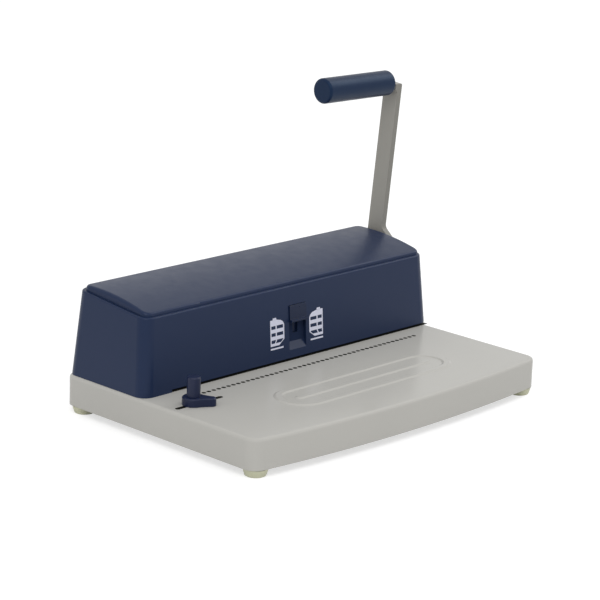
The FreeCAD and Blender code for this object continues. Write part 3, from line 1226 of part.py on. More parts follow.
def selector_strap():
    low = selector_screw_z() - STRAP_BELOW_SCREW
    front = box(STRAP_LEFT_X, STRAP_RIGHT_X, STRAP_FRONT_Y, STRAP_FRONT_Y + STRAP_SHEET, low, STRAP_TOP_Z)
    top = box(STRAP_LEFT_X, STRAP_RIGHT_X, STRAP_FRONT_Y, CAM_REAR_Y, STRAP_TOP_Z - STRAP_SHEET, STRAP_TOP_Z)
    cam_x = STRAP_RIGHT_X - STRAP_SHEET
    cam = box(cam_x, STRAP_RIGHT_X, CAM_FRONT_Y, CAM_REAR_Y, CAM_BOTTOM_Z, STRAP_TOP_Z)
    end_y, end_z = cam_slot_end()
    width = FOLLOWER_DIAMETER + 2 * CAM_SLOT_CLEARANCE
    run = math.hypot(end_y - FOLLOWER_Y, end_z - FOLLOWER_Z)
    channel = box(cam_x - OVERRUN, STRAP_RIGHT_X + OVERRUN, -width / 2, width / 2, 0, run)
    channel.rotate(Vector(0, 0, 0), X_AXIS, -math.degrees(math.atan2(end_y - FOLLOWER_Y, end_z - FOLLOWER_Z)))
    channel.translate(Vector(0, FOLLOWER_Y, FOLLOWER_Z))
    ends = [rod(width, STRAP_SHEET + 2 * OVERRUN, Vector(cam_x - OVERRUN, y, z), X_AXIS)
            for y, z in ((FOLLOWER_Y, FOLLOWER_Z), (end_y, end_z))]
    return front.fuse([top, cam]).cut([channel, selector_screw_shank()] + ends).removeSplitter()


def depth_stop_bar():
    front = PIN_SEAT_Y + STOP_BAR_MARGIN
    reach = THROAT_SIDE_X - STOP_BAR_END_GAP
    z = DECK_Z + (THROAT_HEIGHT - STOP_BAR_THICKNESS) / 2
    strip = box(-reach, reach, front, front + STOP_BAR_DEPTH, z, z + STOP_BAR_THICKNESS)
    ear_front = FOLLOWER_Y - EAR_PLATE_DEPTH / 2
    ear = box(EAR_PLATE_X, EAR_PLATE_X + EAR_PLATE_THICKNESS, ear_front, ear_front + EAR_PLATE_DEPTH,
              z, FOLLOWER_Z + EAR_PLATE_ABOVE_PIN)
    hole = rod(FOLLOWER_DIAMETER, 3 * EAR_PLATE_THICKNESS,
               Vector(EAR_PLATE_X - EAR_PLATE_THICKNESS, FOLLOWER_Y, FOLLOWER_Z), X_AXIS)
    return strip.fuse(ear).cut(hole).removeSplitter()


def follower_pin():
    x0 = EAR_PLATE_X - FOLLOWER_OVERHANG
    x1 = STRAP_RIGHT_X + FOLLOWER_OVERHANG
    return rod(FOLLOWER_DIAMETER, x1 - x0, Vector(x0, FOLLOWER_Y, FOLLOWER_Z), X_AXIS)


# Chip drawer and its rails
def chip_drawer():
    x0 = -THROAT_SIDE_X
    x1 = PANEL_X
    y0 = DRAWER_FRONT_Y
    y1 = y0 + DRAWER_DEPTH
    z1 = DRAWER_Z + DRAWER_HEIGHT
    wall = DRAWER_WALL
    bin_box = box(x0, x1, y0, y1, DRAWER_Z, z1)
    bin_box = bin_box.cut(box(x0 + wall, x1 - wall, y0 + wall, y1 - wall, DRAWER_Z + wall, z1 + OVERRUN))
    margin = DRAWER_PANEL_MARGIN
    panel = box(x1, x1 + DRAWER_PANEL_THICKNESS, y0 - margin, y1 + margin,
                DRAWER_Z - DRAWER_PANEL_DROP, z1 + DRAWER_PANEL_RISE)
    corners = [e for e in panel.Edges if e.BoundBox.YLength + e.BoundBox.ZLength < SAME]
    panel = panel.makeFillet(margin / 2, corners)
    middle = (y0 + y1) / 2
    pull_z = (DRAWER_Z + z1) / 2
    pull = box(x1, x1 + DRAWER_PANEL_THICKNESS + DRAWER_PULL_REACH, middle - DRAWER_PULL_WIDTH / 2,
               middle + DRAWER_PULL_WIDTH / 2, pull_z, pull_z + DRAWER_PULL_THICKNESS)
    outer = [e for e in upright_edges(pull) if e.BoundBox.XMin > x1 + DRAWER_PANEL_THICKNESS]
    pull = pull.makeFillet(DRAWER_PULL_REACH / 2, outer)
    return bin_box.fuse([panel, pull]).removeSplitter()


def drawer_rails():
    x0 = -THROAT_SIDE_X
    x1 = HALF_LENGTH - TRAY_SHEET - RAIL_END_GAP
    front = DRAWER_FRONT_Y - RAIL_GAP
    rear = DRAWER_FRONT_Y + DRAWER_DEPTH + RAIL_GAP
    rails = []
    for inner, away in ((front, -1), (rear, 1)):
        outer = inner + away * RAIL_SHEET
        toe = inner + away * RAIL_FOOT
        foot_top = BOTTOM_TOP + RAIL_SHEET
        outline = [(inner, BOTTOM_TOP), (inner, BOTTOM_TOP + RAIL_HEIGHT), (outer, BOTTOM_TOP + RAIL_HEIGHT),
                   (outer, foot_top), (toe, foot_top), (toe, BOTTOM_TOP)]
        rails.append(prism_x(outline, x0, x1))
    return rails


def main():
    os.makedirs("parts", exist_ok=True)
    save("base_tray", base_tray())
    save("stud_strip", stud_strip())
    save("bottom_plate", bottom_plate())
    save("standoffs", *standoffs())
    save("foot_screws", *foot_screws())
    for name, (x, y) in foot_places().items():
        save("foot_" + name, foot(x, y))
    save("die_plate", die_plate())
    save("guide_spacers", *guide_spacers())
    save("guide_plate", guide_plate())
    save("stack_screws", *stack_screws())
    for name, side in (("left", -1), ("right", 1)):
        save("guide_post_" + name, guide_post(side))
        save("return_spring_" + name, return_spring(side))
        save("rack_" + name, rack(side))
        save("pinion_" + name, pinion(side))
    save("punch_bar", punch_bar())
    save("pin_clamp", pin_clamp())
    save("clamp_screws", *clamp_screws())
    save("punch_pins", *punch_pins())
    save("rack_screws", *rack_screws())
    save("drive_shaft", drive_shaft())
    save("shaft_collar", shaft_collar())
    save("bush_right", bush_right())
    save("bush_left", mirrored(bush_right()))
    save("frame_right", frame_right())
    save("frame_left", mirrored(frame_right()))
    save("frame_fixings", *frame_fixings())
    save("tie_bars", *tie_bars())
    save("cover_shell", cover_shell())
    save("cover_lid", cover_lid())
    save("cover_brackets", *cover_brackets())
    save("cover_screws", *cover_screws())
    save("lever_arm", lever_arm())
    save("lever_screw", *lever_screw())
    save("lever_grip", lever_grip())
    save("stop_nut", stop_nut())
    save("stop_arm", stop_arm())
    save("stop_knob", stop_knob())
    save("selector_button", selector_button())
    save("selector_strap", selector_strap())
    save("selector_screw", selector_screw())
    save("depth_stop_bar", depth_stop_bar())
    save("follower_pin", follower_pin())
    save("chip_drawer", chip_drawer())
    save("drawer_rails", *drawer_rails())
    print("machine", round(HALF_LENGTH + MACHINE_RIGHT_X, 1), "long, ram travel", round(RAM_TRAVEL, 2))


main()
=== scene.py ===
import json
import math

import bmesh
import bpy
from mathutils import Matrix, Vector


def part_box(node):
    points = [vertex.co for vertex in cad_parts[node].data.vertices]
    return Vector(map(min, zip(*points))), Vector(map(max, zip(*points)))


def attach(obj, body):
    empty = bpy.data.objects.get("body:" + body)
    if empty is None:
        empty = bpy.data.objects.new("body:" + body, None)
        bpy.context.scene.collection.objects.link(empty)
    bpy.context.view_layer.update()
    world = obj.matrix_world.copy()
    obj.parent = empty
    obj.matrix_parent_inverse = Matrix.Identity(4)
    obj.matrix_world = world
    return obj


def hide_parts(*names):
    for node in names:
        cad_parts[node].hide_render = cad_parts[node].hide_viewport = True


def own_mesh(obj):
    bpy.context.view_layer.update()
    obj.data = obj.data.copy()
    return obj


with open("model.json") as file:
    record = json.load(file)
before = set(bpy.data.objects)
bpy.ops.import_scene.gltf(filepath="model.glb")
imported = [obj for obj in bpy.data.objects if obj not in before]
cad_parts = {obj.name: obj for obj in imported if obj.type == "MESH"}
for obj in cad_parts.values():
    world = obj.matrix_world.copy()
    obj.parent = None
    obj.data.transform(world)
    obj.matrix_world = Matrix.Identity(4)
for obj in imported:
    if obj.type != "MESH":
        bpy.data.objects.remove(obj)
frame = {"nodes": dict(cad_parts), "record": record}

# Desk punch for coil binding. Lengths are in metres unless a name says otherwise.
MM = 0.001

# Camera, from the photograph's perspective
SENSOR_MM = 36.0
LENS_MM = 142.436
CAMERA_EYE = Vector((-1.5072, -1.4246, 0.6779))
CAMERA_AZIMUTH_DEG = 46.147
CAMERA_ELEVATION_DEG = 15.672
CAMERA_ROLL_DEG = 2.0
CLIP_NEAR = 0.05
CLIP_FAR = 40.0

# Light
WORLD_LEVEL = 0.76
KEY_PLACE = Vector((-1.40, -1.15, 2.2))
KEY_SIZE = 1.6
KEY_WATTS = 19.5
SIDE_PLACE = Vector((2.1, -0.5, 1.9))
SIDE_SIZE = 1.7
SIDE_WATTS = 14.7
FLOOR_HALF = 9.0
FLOOR_GRID = 8
FLOOR_ALBEDO = 0.84
FLOOR_SEEN_ALBEDO = 0.50
FLOOR_LIFT = 0.62

# Colours, as linear values
BASE_GREY = (0.472, 0.464, 0.436)
COVER_NAVY = (0.0100, 0.0204, 0.0575)
GRIP_NAVY = (0.0062, 0.0130, 0.0400)
STOP_NAVY = (0.0105, 0.0165, 0.0490)
LEVER_GREY = (0.322, 0.312, 0.284)
FOOT_CREAM = (0.544, 0.546, 0.402)
PRINT_WHITE = (0.640, 0.655, 0.780)
COVER_TINT = (0.80, 0.86, 1.00)
GRIP_TINT = (0.36, 0.66, 1.00)
BUTTON_NAVY = (0.0072, 0.0150, 0.0450)
# Painted shade: colour of the plates on the pocket's floor
POCKET_SHADE_NAVY = (0.0140, 0.0235, 0.0560)
# Dark plastic of the gauge studs, darkened as painted shade
STUD_DARK_PAINTED_SHADE = (0.016, 0.016, 0.012)
# Painted shade: colour of the throat strip and the slot liner
PAINTED_SHADE_DARK = (0.036, 0.036, 0.032)
PLASTIC_BLACK = (0.018, 0.018, 0.020)
STEEL = (0.46, 0.46, 0.47)
STEEL_BRIGHT = (0.60, 0.60, 0.60)
ZINC = (0.43, 0.44, 0.43)
BRONZE = (0.50, 0.33, 0.15)

# Painted shade on the lever's two edges: darker colour by how far a face turns towards the front or the
# back, standing in for the shade on the bar's narrow faces
LEVER_EDGE_PAINTED_SHADE = 0.70
LEVER_EDGE_START = 0.25
LEVER_EDGE_FULL = 0.75

# Range that most of a noise lies in
NOISE_LOW = 0.3
NOISE_HIGH = 0.7

# Printed pictograms on the front wall, placed from the middle of the selector
ICON_WIDTH = 17.8 * MM
ICON_LEFT_OFFSET = -26.3 * MM
ICON_RIGHT_OFFSET = 24.4 * MM
ICON_BODY_LOW = 17.6 * MM
ICON_BODY_HEIGHT = 24.4 * MM
ICON_TAB_HEIGHT = 1.7 * MM
ICON_BAR_LOW = 14.2 * MM
ICON_BAR_HEIGHT = 1.5 * MM
ICON_PROUD = 0.06 * MM
COVER_DRAFT_DEG = 4.4

# Outline of a pictogram, in shares of its body's width and height
ICON_SLITS = ((0.10, 0.23), (0.37, 0.50), (0.64, 0.77))
ICON_RIBS = ((0.0, 0.07), (0.38, 0.46), (0.92, 1.0))
ICON_SHOULDER_RISE = 0.72
ICON_TOP_REACH = 0.42
ICON_WAIST_RISE = 0.20
ICON_FOOT_REACH = 0.62
ICON_TAB_FOOT = (0.16, 0.46)
ICON_TAB_TIP = (0.20, 0.42)
ICON_TAB_LOW = 0.98
ICON_BAR_END = 0.92
ICON_BAND_STEPS = 4

# Dark strip inside the paper throat: painted shade for the shadow under the cover's front wall
THROAT_STRIP_BACK = 0.8 * MM
THROAT_STRIP_THICKNESS = 0.15 * MM
SPACER_WIDTH = 14.0 * MM

# Liner of the side stop's slot: painted shade for the dark hollow under the deck
SLOT_LENGTH = 55.0 * MM
SLOT_WIDTH = 4.4 * MM
SLOT_STOP_ALONG = 20.6 * MM
SLOT_LINER_WALL = 0.08 * MM
SLOT_LIP_WIDTH = 0.20 * MM
SLOT_LIP_TOP_WIDTH = 0.14 * MM
SLOT_LIP_HEIGHT = 0.08 * MM
SLOT_END_STEPS = 12
TRAY_SHEET = 1.5 * MM

# Domed caps of the gauge studs, their dark plastic darkened further as painted shade for the row's dark
# dots
STUD_COUNT = 50
STUD_PITCH = 6.0 * MM
STUD_CAP_RADIUS = 2.30 * MM
STUD_CAP_HEIGHT = 0.14 * MM
STUD_CAP_DOME = ((1.0, 0.0), (1.0, 0.15), (0.86, 0.62), (0.5, 0.92), (0.15, 1.0))
STUD_CAP_SEGMENTS = 20

# Liner and lip of the selector's pocket; the liner is painted shade in the recess
POCKET_MIDDLE_RISE = 31.09 * MM
POCKET_WIDTH = 22.0 * MM
POCKET_HEIGHT = 42.0 * MM
POCKET_DEPTH = 3.4 * MM
POCKET_LIP = 7.0 * MM
POCKET_SLOT_WIDTH = 6.4 * MM
POCKET_SLOT_LOW = -6.3 * MM
POCKET_SLOT_HIGH = 16.2 * MM
POCKET_LINER = 0.08 * MM

# Return springs on the guide posts
SPRING_WIRE = 1.5 * MM
SPRING_TURNS = 8
SPRING_END_TURN = 0.5
SPRING_STEPS_PER_TURN = 24
SPRING_WIRE_SIDES = 8

# Screws
LEVER_SCREW_HEAD = 10.0 * MM
LEVER_SCREW_HEAD_HEIGHT = 4.0 * MM
LEVER_SCREW_SHANK = 5.0 * MM
LEVER_SCREW_RIM = 0.6 * MM
LEVER_SCREW_RIM_ROUND = 0.18 * MM
LEVER_SCREW_SEAT_ROUND = 0.2 * MM
LEVER_SCREW_SEGMENTS = 64
LEVER_WASHER_THICKNESS = 2.0 * MM
LEVER_WASHER_BORE = 5.3 * MM
LEVER_WASHER_CHAMFER = 0.3 * MM
SOCKET_FLATS = 4.0 * MM
SOCKET_DEPTH = 2.4 * MM
PAN_HEAD = 8.0 * MM
PAN_SHANK = 4.0 * MM
PAN_DOME = ((1.0, 0.0), (1.0, 0.45), (0.97, 0.72), (0.87, 0.91), (0.66, 1.0))
PAN_SEGMENTS = 40
FOOT_HEAD_HEIGHT = 2.6 * MM
COVER_HEAD_HEIGHT = 1.58 * MM
RECESS_ARM = 0.9 * MM
RECESS_SPAN = 4.0 * MM
RECESS_DEPTH_SHARE = 0.6
RECESS_TAPER = 0.6

# Edges flatter than these are shaded smooth
SCREW_SMOOTH_DEG = 35
ROUND_SMOOTH_DEG = 50


# Helpers for materials
def new_material(name):
    material = bpy.data.materials.new(name)
    material.use_nodes = True
    tree = material.node_tree
    return material, tree, tree.nodes["Principled BSDF"]


def object_coordinates(tree):
    return tree.nodes.new("ShaderNodeTexCoord").outputs["Object"]


def noise(tree, scale, detail=3.0, roughness=0.5):
    """Noise over the object's own metres: the scale is in features per metre."""
    node = tree.nodes.new("ShaderNodeTexNoise")
    node.inputs["Scale"].default_value = scale
    node.inputs["Detail"].default_value = detail
    node.inputs["Roughness"].default_value = roughness
    tree.links.new(object_coordinates(tree), node.inputs["Vector"])
    return node.outputs["Fac"]


def vary_colour(tree, shader, colour, amount, scale):
    """Cloudy difference in the colour, as batches of paint or moulding have."""
    mix = tree.nodes.new("ShaderNodeMix")
    mix.data_type = "RGBA"
    mix.inputs["A"].default_value = (*[c * (1 - amount) for c in colour], 1)
    mix.inputs["B"].default_value = (*[min(1.0, c * (1 + amount)) for c in colour], 1)
    tree.links.new(noise(tree, scale, detail=2.0), mix.inputs["Factor"])
    tree.links.new(mix.outputs["Result"], shader.inputs["Base Color"])


def vary_roughness(tree, shader, factor, rough, amount):
    """Roughness that follows a noise, an amount to either side of the middle value."""
    node = tree.nodes.new("ShaderNodeMapRange")
    node.inputs["From Min"].default_value = NOISE_LOW
    node.inputs["From Max"].default_value = NOISE_HIGH
    node.inputs["To Min"].default_value = rough - amount
    node.inputs["To Max"].default_value = rough + amount
    tree.links.new(factor, node.inputs["Value"])
    tree.links.new(node.outputs["Result"], shader.inputs["Roughness"])


def add_bump(tree, shader, heights, strength):
    """Bump from a list of (height output, depth in metres), laid one over another."""
    previous = None
    for height, depth in heights:
        bump = tree.nodes.new("ShaderNodeBump")
        bump.inputs["Strength"].default_value = strength
        bump.inputs["Distance"].default_value = depth
        tree.links.new(height, bump.inputs["Height"])
        if previous:
            tree.links.new(previous, bump.inputs["Normal"])
        previous = bump.outputs["Normal"]
    tree.links.new(previous, shader.inputs["Normal"])


# Materials
def powder_coat(name, colour, rough, specular):
    """Sprayed and baked paint: slight orange peel, fine speckle in the gloss."""
    material, tree, shader = new_material(name)
    vary_colour(tree, shader, colour, amount=0.018, scale=14.0)
    vary_roughness(tree, shader, noise(tree, scale=60.0), rough, amount=0.03)
    shader.inputs["Specular IOR Level"].default_value = specular
    peel = noise(tree, scale=420.0, detail=2.0)
    speckle = noise(tree, scale=2600.0, detail=1.0)
    add_bump(tree, shader, [(peel, 0.03 * MM), (speckle, 0.004 * MM)], strength=0.35)
    return material


def lever_coat_with_painted_edge_shade():
    """Powder coat with painted shade: darker colour on the flat bar's narrow edges, standing in for the
    shade that falls on them.
    """
    material = powder_coat("Lever_grey_coat_painted_edge_shade", LEVER_GREY, rough=0.36, specular=0.18)
    tree = material.node_tree
    shader = tree.nodes["Principled BSDF"]
    paint = shader.inputs["Base Color"].links[0].from_socket
    split = tree.nodes.new("ShaderNodeSeparateXYZ")
    tree.links.new(tree.nodes.new("ShaderNodeTexCoord").outputs["Normal"], split.inputs["Vector"])
    across = tree.nodes.new("ShaderNodeMath")
    across.operation = "ABSOLUTE"
    tree.links.new(split.outputs["Y"], across.inputs[0])
    edge = tree.nodes.new("ShaderNodeMapRange")
    edge.inputs["From Min"].default_value = LEVER_EDGE_START
    edge.inputs["From Max"].default_value = LEVER_EDGE_FULL
    edge.inputs["To Min"].default_value = 1.0
    edge.inputs["To Max"].default_value = LEVER_EDGE_PAINTED_SHADE
    tree.links.new(across.outputs["Value"], edge.inputs["Value"])
    shade = tree.nodes.new("ShaderNodeVectorMath")
    shade.operation = "SCALE"
    tree.links.new(paint, shade.inputs["Vector"])
    tree.links.new(edge.outputs["Result"], shade.inputs["Scale"])
    tree.links.new(shade.outputs["Vector"], shader.inputs["Base Color"])
    return material


def moulded_plastic(name, colour, rough, specular, grain=0.010, tint=(1.0, 1.0, 1.0)):
    """Injection-moulded plastic with a fine spark-eroded grain, its depth in millimetres."""
    material, tree, shader = new_material(name)
    vary_colour(tree, shader, colour, amount=0.05, scale=9.0)
    vary_roughness(tree, shader, noise(tree, scale=90.0), rough, amount=0.03)
    shader.inputs["Specular IOR Level"].default_value = specular
    shader.inputs["Specular Tint"].default_value = (*tint, 1)
    sparks = noise(tree, scale=1900.0, detail=3.0, roughness=0.6)
    add_bump(tree, shader, [(sparks, grain * MM)], strength=0.5)
    return material


def rubber(name, colour):
    """Pale rubber that lets a little light in."""
    material, tree, shader = new_material(name)
    vary_colour(tree, shader, colour, amount=0.04, scale=60.0)
    shader.inputs["Roughness"].default_value = 0.62
    shader.inputs["Specular IOR Level"].default_value = 0.35
    shader.inputs["Subsurface Weight"].default_value = 0.12
    shader.inputs["Subsurface Radius"].default_value = (1.0, 0.9, 0.6)
    shader.inputs["Subsurface Scale"].default_value = 0.8 * MM
    add_bump(tree, shader, [(noise(tree, scale=1400.0, detail=2.0), 0.012 * MM)], strength=0.5)
    return material


def metal(name, colour, rough, stretch=(1.0, 1.0, 1.0), scale=900.0, depth=0.006):
    """Bare or plated metal, with its grain drawn out by the stretch and its depth in millimetres."""
    material, tree, shader = new_material(name)
    shader.inputs["Metallic"].default_value = 1.0
    mapping = tree.nodes.new("ShaderNodeMapping")
    mapping.inputs["Scale"].default_value = stretch
    tree.links.new(object_coordinates(tree), mapping.inputs["Vector"])
    grain = tree.nodes.new("ShaderNodeTexNoise")
    grain.inputs["Scale"].default_value = scale
    grain.inputs["Detail"].default_value = 4.0
    tree.links.new(mapping.outputs["Vector"], grain.inputs["Vector"])
    vary_colour(tree, shader, colour, amount=0.06, scale=40.0)
    vary_roughness(tree, shader, grain.outputs["Fac"], rough, amount=0.06)
    add_bump(tree, shader, [(grain.outputs["Fac"], depth * MM)], strength=0.4)
    return material


def ink(name, colour):
    """Pad-printed ink, with a slightly uneven lay-down."""
    material, tree, shader = new_material(name)
    vary_colour(tree, shader, colour, amount=0.05, scale=500.0)
    shader.inputs["Roughness"].default_value = 0.5
    shader.inputs["Specular IOR Level"].default_value = 0.35
    add_bump(tree, shader, [(noise(tree, scale=3000.0, detail=2.0), 0.006 * MM)], strength=0.4)
    return material


def stud_plastic_with_painted_shade():
    return moulded_plastic("Stud_dark_plastic_painted_shade", STUD_DARK_PAINTED_SHADE, rough=0.60, specular=0.05)


def dark_plastic(name, colour):
    return moulded_plastic(name, colour, rough=0.65, specular=0.04)


def slot_materials():
    """One material for each material slot of the frame."""
    along_x = (0.06, 1.0, 1.0)
    return {
        "base_grey": powder_coat("Base_grey_coat", BASE_GREY, rough=0.22, specular=0.09),
        "lever_grey": lever_coat_with_painted_edge_shade(),
        "cover_blue": moulded_plastic("Cover_navy_plastic", COVER_NAVY, rough=0.36, specular=0.235,
                                      tint=COVER_TINT),
        "grip_blue": moulded_plastic("Grip_navy_plastic", GRIP_NAVY, rough=0.40, specular=0.30,
                                     grain=0.006, tint=GRIP_TINT),
        "black_plastic": moulded_plastic("Black_plastic", PLASTIC_BLACK, rough=0.42, specular=0.40),
        "foot_cream": rubber("Foot_rubber", FOOT_CREAM),
        "plain_steel": metal("Ground_steel", STEEL, rough=0.32, stretch=along_x),
        "bright_steel": metal("Bright_steel", STEEL_BRIGHT, rough=0.16, stretch=along_x, depth=0.002),
        "zinc_plate": metal("Zinc_plate", ZINC, rough=0.34, scale=300.0),
        "bush_bronze": metal("Sintered_bronze", BRONZE, rough=0.38, scale=1500.0),
    }


def dress_frame(materials):
    """Give every CAD node the material of its slot, or its own where it differs from the slot's."""
    stop = moulded_plastic("Stop_navy_plastic", STOP_NAVY, rough=0.32, specular=0.26)
    button = moulded_plastic("Button_navy_plastic", BUTTON_NAVY, rough=0.30, specular=0.21)
    own = {
        "stop_arm": stop,
        "stop_knob": stop,
        "stud_strip": stud_plastic_with_painted_shade(),
        "selector_button": button,
    }
    for part in frame["record"]["subparts"]:
        node = frame["nodes"][part["node"]]
        node.data.materials.clear()
        node.data.materials.append(own.get(part["node"], materials[part["material_slot"]]))


# Mesh helpers
def mesh_piece(name, bm, material, body):
    """Visible piece from a mesh under construction, riding on a body."""
    mesh = bpy.data.meshes.new(name)
    bmesh.ops.recalc_face_normals(bm, faces=bm.faces)
    bm.to_mesh(mesh)
    bm.free()
    mesh.materials.append(material)
    piece = bpy.data.objects.new(name, mesh)
    bpy.context.scene.collection.objects.link(piece)
    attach(piece, body)
    return piece


def join_rings(bm, rings, closed=False):
    """Faces between each ring of vertices and the next one, and over the two ends."""
    for one, other in zip(rings, rings[1:] + rings[:1] if closed else rings[1:]):
        for index in range(len(one)):
            following = (index + 1) % len(one)
            bm.faces.new((one[index], one[following], other[following], other[index]))
    if not closed:
        bm.faces.new(rings[0])
        bm.faces.new(rings[-1])


def add_plate(bm, corners, thickness):
    """Flat plate over a ring of corners, thickened by a vector."""
    join_rings(bm, [[bm.verts.new(corner) for corner in corners],
                    [bm.verts.new(corner + thickness) for corner in corners]])


def add_circle(bm, centre, axis, radius, count):
    """Ring of vertices on a circle square to an axis."""
    side = axis.orthogonal().normalized()
    other = axis.cross(side)
    ring = []
    for step in range(count):
        turn = 2 * math.pi * step / count
        outward = side * math.cos(turn) + other * math.sin(turn)
        ring.append(bm.verts.new(centre + outward * radius))
    return ring


def add_turned(bm, seat, axis, profile, count, closed=False):
    """Body turned about an axis, from (radius, distance along the axis from the seat) pairs."""
    rings = [add_circle(bm, seat + axis * along, axis, radius, count) for radius, along in profile]
    join_rings(bm, rings, closed)


def smooth(piece, degrees):
    """Shade the piece smooth, apart from its edges sharper than an angle."""
    piece.data.shade_smooth()
    piece.data.set_sharp_from_angle(angle=math.radians(degrees))


# Screws
def hexagon(flats):
    """Outline of a hexagonal socket, from its width across flats."""
    corner = flats / math.sqrt(3)
    turns = [math.pi * step / 3 for step in range(6)]
    return [(corner * math.cos(turn), corner * math.sin(turn)) for turn in turns]


def cross(span, arm):
    """Outline of a cross recess, from its whole span and the width of its arms."""
    far = span / 2
    near = arm / 2
    return [(far, near), (near, near), (near, far), (-near, far), (-near, near), (-far, near),
            (-far, -near), (-near, -near), (-near, -far), (near, -far), (near, -near), (far, -near)]


def with_drive(bm, head_top, axis, outline, depth, taper):
    """The body with a recess for its driver in its head, narrowed by the taper at the bottom."""
    side = axis.orthogonal().normalized()
    other = axis.cross(side)
    cutter = bmesh.new()
    rings = []
    for share, along in ((taper, -depth), (1.0, depth)):
        centre = head_top + axis * along
        rings.append([cutter.verts.new(centre + (side * x + other * y) * share) for x, y in outline])
    join_rings(cutter, rings)
    body_object = scratch_object(bm)
    cutter_object = scratch_object(cutter)
    cut = body_object.modifiers.new("cut", "BOOLEAN")
    cut.operation = "DIFFERENCE"
    cut.solver = "EXACT"
    cut.object = cutter_object
    result = bmesh.new()
    result.from_mesh(body_object.evaluated_get(bpy.context.evaluated_depsgraph_get()).to_mesh())
    for scratch in (body_object, cutter_object):
        bpy.data.objects.remove(scratch)
    return result


def scratch_object(bm):
    """Object for one boolean, which is removed again."""
    bmesh.ops.recalc_face_normals(bm, faces=bm.faces)
    mesh = bpy.data.meshes.new("scratch")
    bm.to_mesh(mesh)
    bm.free()
    scratch = bpy.data.objects.new("scratch", mesh)
    bpy.context.scene.collection.objects.link(scratch)
    return scratch


def take_in(bm, other):
    """Add the faces of another mesh under construction to this one, and free the other."""
    mesh = bpy.data.meshes.new("part")
    other.to_mesh(mesh)
    other.free()
    bm.from_mesh(mesh)
    bpy.data.meshes.remove(mesh)


def pan_screw(head_top, axis, head_height, length):
    """Cross-recess pan head screw, its axis pointing out of the head."""
    radius = PAN_HEAD / 2
    seat = head_top - axis * head_height
    profile = [(PAN_SHANK / 2, head_height - length), (PAN_SHANK / 2, 0.0)]
    profile += [(radius * share, head_height * rise) for share, rise in PAN_DOME]
    bm = bmesh.new()
    add_turned(bm, seat, axis, profile, PAN_SEGMENTS)
    recess = cross(RECESS_SPAN, RECESS_ARM)
    return with_drive(bm, head_top, axis, recess, RECESS_DEPTH_SHARE * head_height, RECESS_TAPER)


def pan_screws(name, tops, axis, head_height, length, material):
    """One piece with a pan head screw at each place."""
    bm = bmesh.new()
    for top in tops:
        take_in(bm, pan_screw(top, axis, head_height, length))
    piece = mesh_piece(name, bm, material, "base")
    smooth(piece, SCREW_SMOOTH_DEG)
    return piece


def foot_screws(material):
    """Screws that hold the four feet, driven from below."""
    low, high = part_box("foot_screws")
    down = Vector((0, 0, -1))
    tops = []
    for foot in ("foot_front_left", "foot_front_right", "foot_rear_left", "foot_rear_right"):
        foot_low, foot_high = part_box(foot)
        middle = (foot_low + foot_high) / 2
        tops.append(Vector((middle.x, middle.y, low.z)))
    length = high.z - low.z
    piece = pan_screws("foot_screws_cross", tops, down, FOOT_HEAD_HEIGHT, length, material)
    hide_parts("foot_screws")


def cover_screws(material):
    """Two screws through the back of the cover."""
    low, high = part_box("cover_screws")
    backward = Vector((0, 1, 0))
    z = (low.z + high.z) / 2
    tops = [Vector((x, high.y, z)) for x in (low.x + PAN_HEAD / 2, high.x - PAN_HEAD / 2)]
    length = high.y - low.y
    piece = pan_screws("cover_screws_cross", tops, backward, COVER_HEAD_HEIGHT, length, material)
    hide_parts("cover_screws")


def lever_screw(material):
    """Socket-head screw and chamfered washer that hold the lever on its shaft."""
    low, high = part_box("lever_screw")
    axis = Vector((1, 0, 0))
    top = Vector((high.x, (low.y + high.y) / 2, (low.z + high.z) / 2))
    seat = top - axis * LEVER_SCREW_HEAD_HEIGHT
    radius = LEVER_SCREW_HEAD / 2
    height = LEVER_SCREW_HEAD_HEIGHT
    shank = LEVER_SCREW_SHANK / 2
    head = [(radius - LEVER_SCREW_SEAT_ROUND, 0.0), (radius, LEVER_SCREW_SEAT_ROUND),
            (radius, height - LEVER_SCREW_RIM),
            (radius - LEVER_SCREW_RIM_ROUND, height - LEVER_SCREW_RIM_ROUND),
            (radius - LEVER_SCREW_RIM, height)]
    bm = bmesh.new()
    add_turned(bm, seat, axis, [(shank, low.x - seat.x), (shank, 0.0)] + head, LEVER_SCREW_SEGMENTS)
    bm = with_drive(bm, top, axis, hexagon(SOCKET_FLATS), SOCKET_DEPTH, taper=1.0)
    thick = LEVER_WASHER_THICKNESS
    chamfer = LEVER_WASHER_CHAMFER
    outer = (high.y - low.y) / 2
    inner = LEVER_WASHER_BORE / 2
    washer = ((inner, 0.0), (outer - chamfer, 0.0), (outer, chamfer),
              (outer, thick - chamfer), (outer - chamfer, thick), (inner, thick))
    add_turned(bm, seat - axis * thick, axis, washer, LEVER_SCREW_SEGMENTS, closed=True)
    piece = mesh_piece("lever_screw_socket", bm, material, "lever")
    smooth(piece, SCREW_SMOOTH_DEG)
    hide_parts("lever_screw")


# Springs
def coil_ring(bm, centre, radius, turn, z):
    """Upright ring round the wire at one place on the coil, which rises too little to tilt it."""
    outward = Vector((math.cos(turn), math.sin(turn), 0))
    middle = centre + outward * radius + Vector((0, 0, z))
    wire = SPRING_WIRE / 2
    ring = []
    for side in range(SPRING_WIRE_SIDES):
        angle = 2 * math.pi * side / SPRING_WIRE_SIDES
        upward = Vector((0, 0, wire * math.sin(angle)))
        ring.append(bm.verts.new(middle + outward * wire * math.cos(angle) + upward))
    return ring


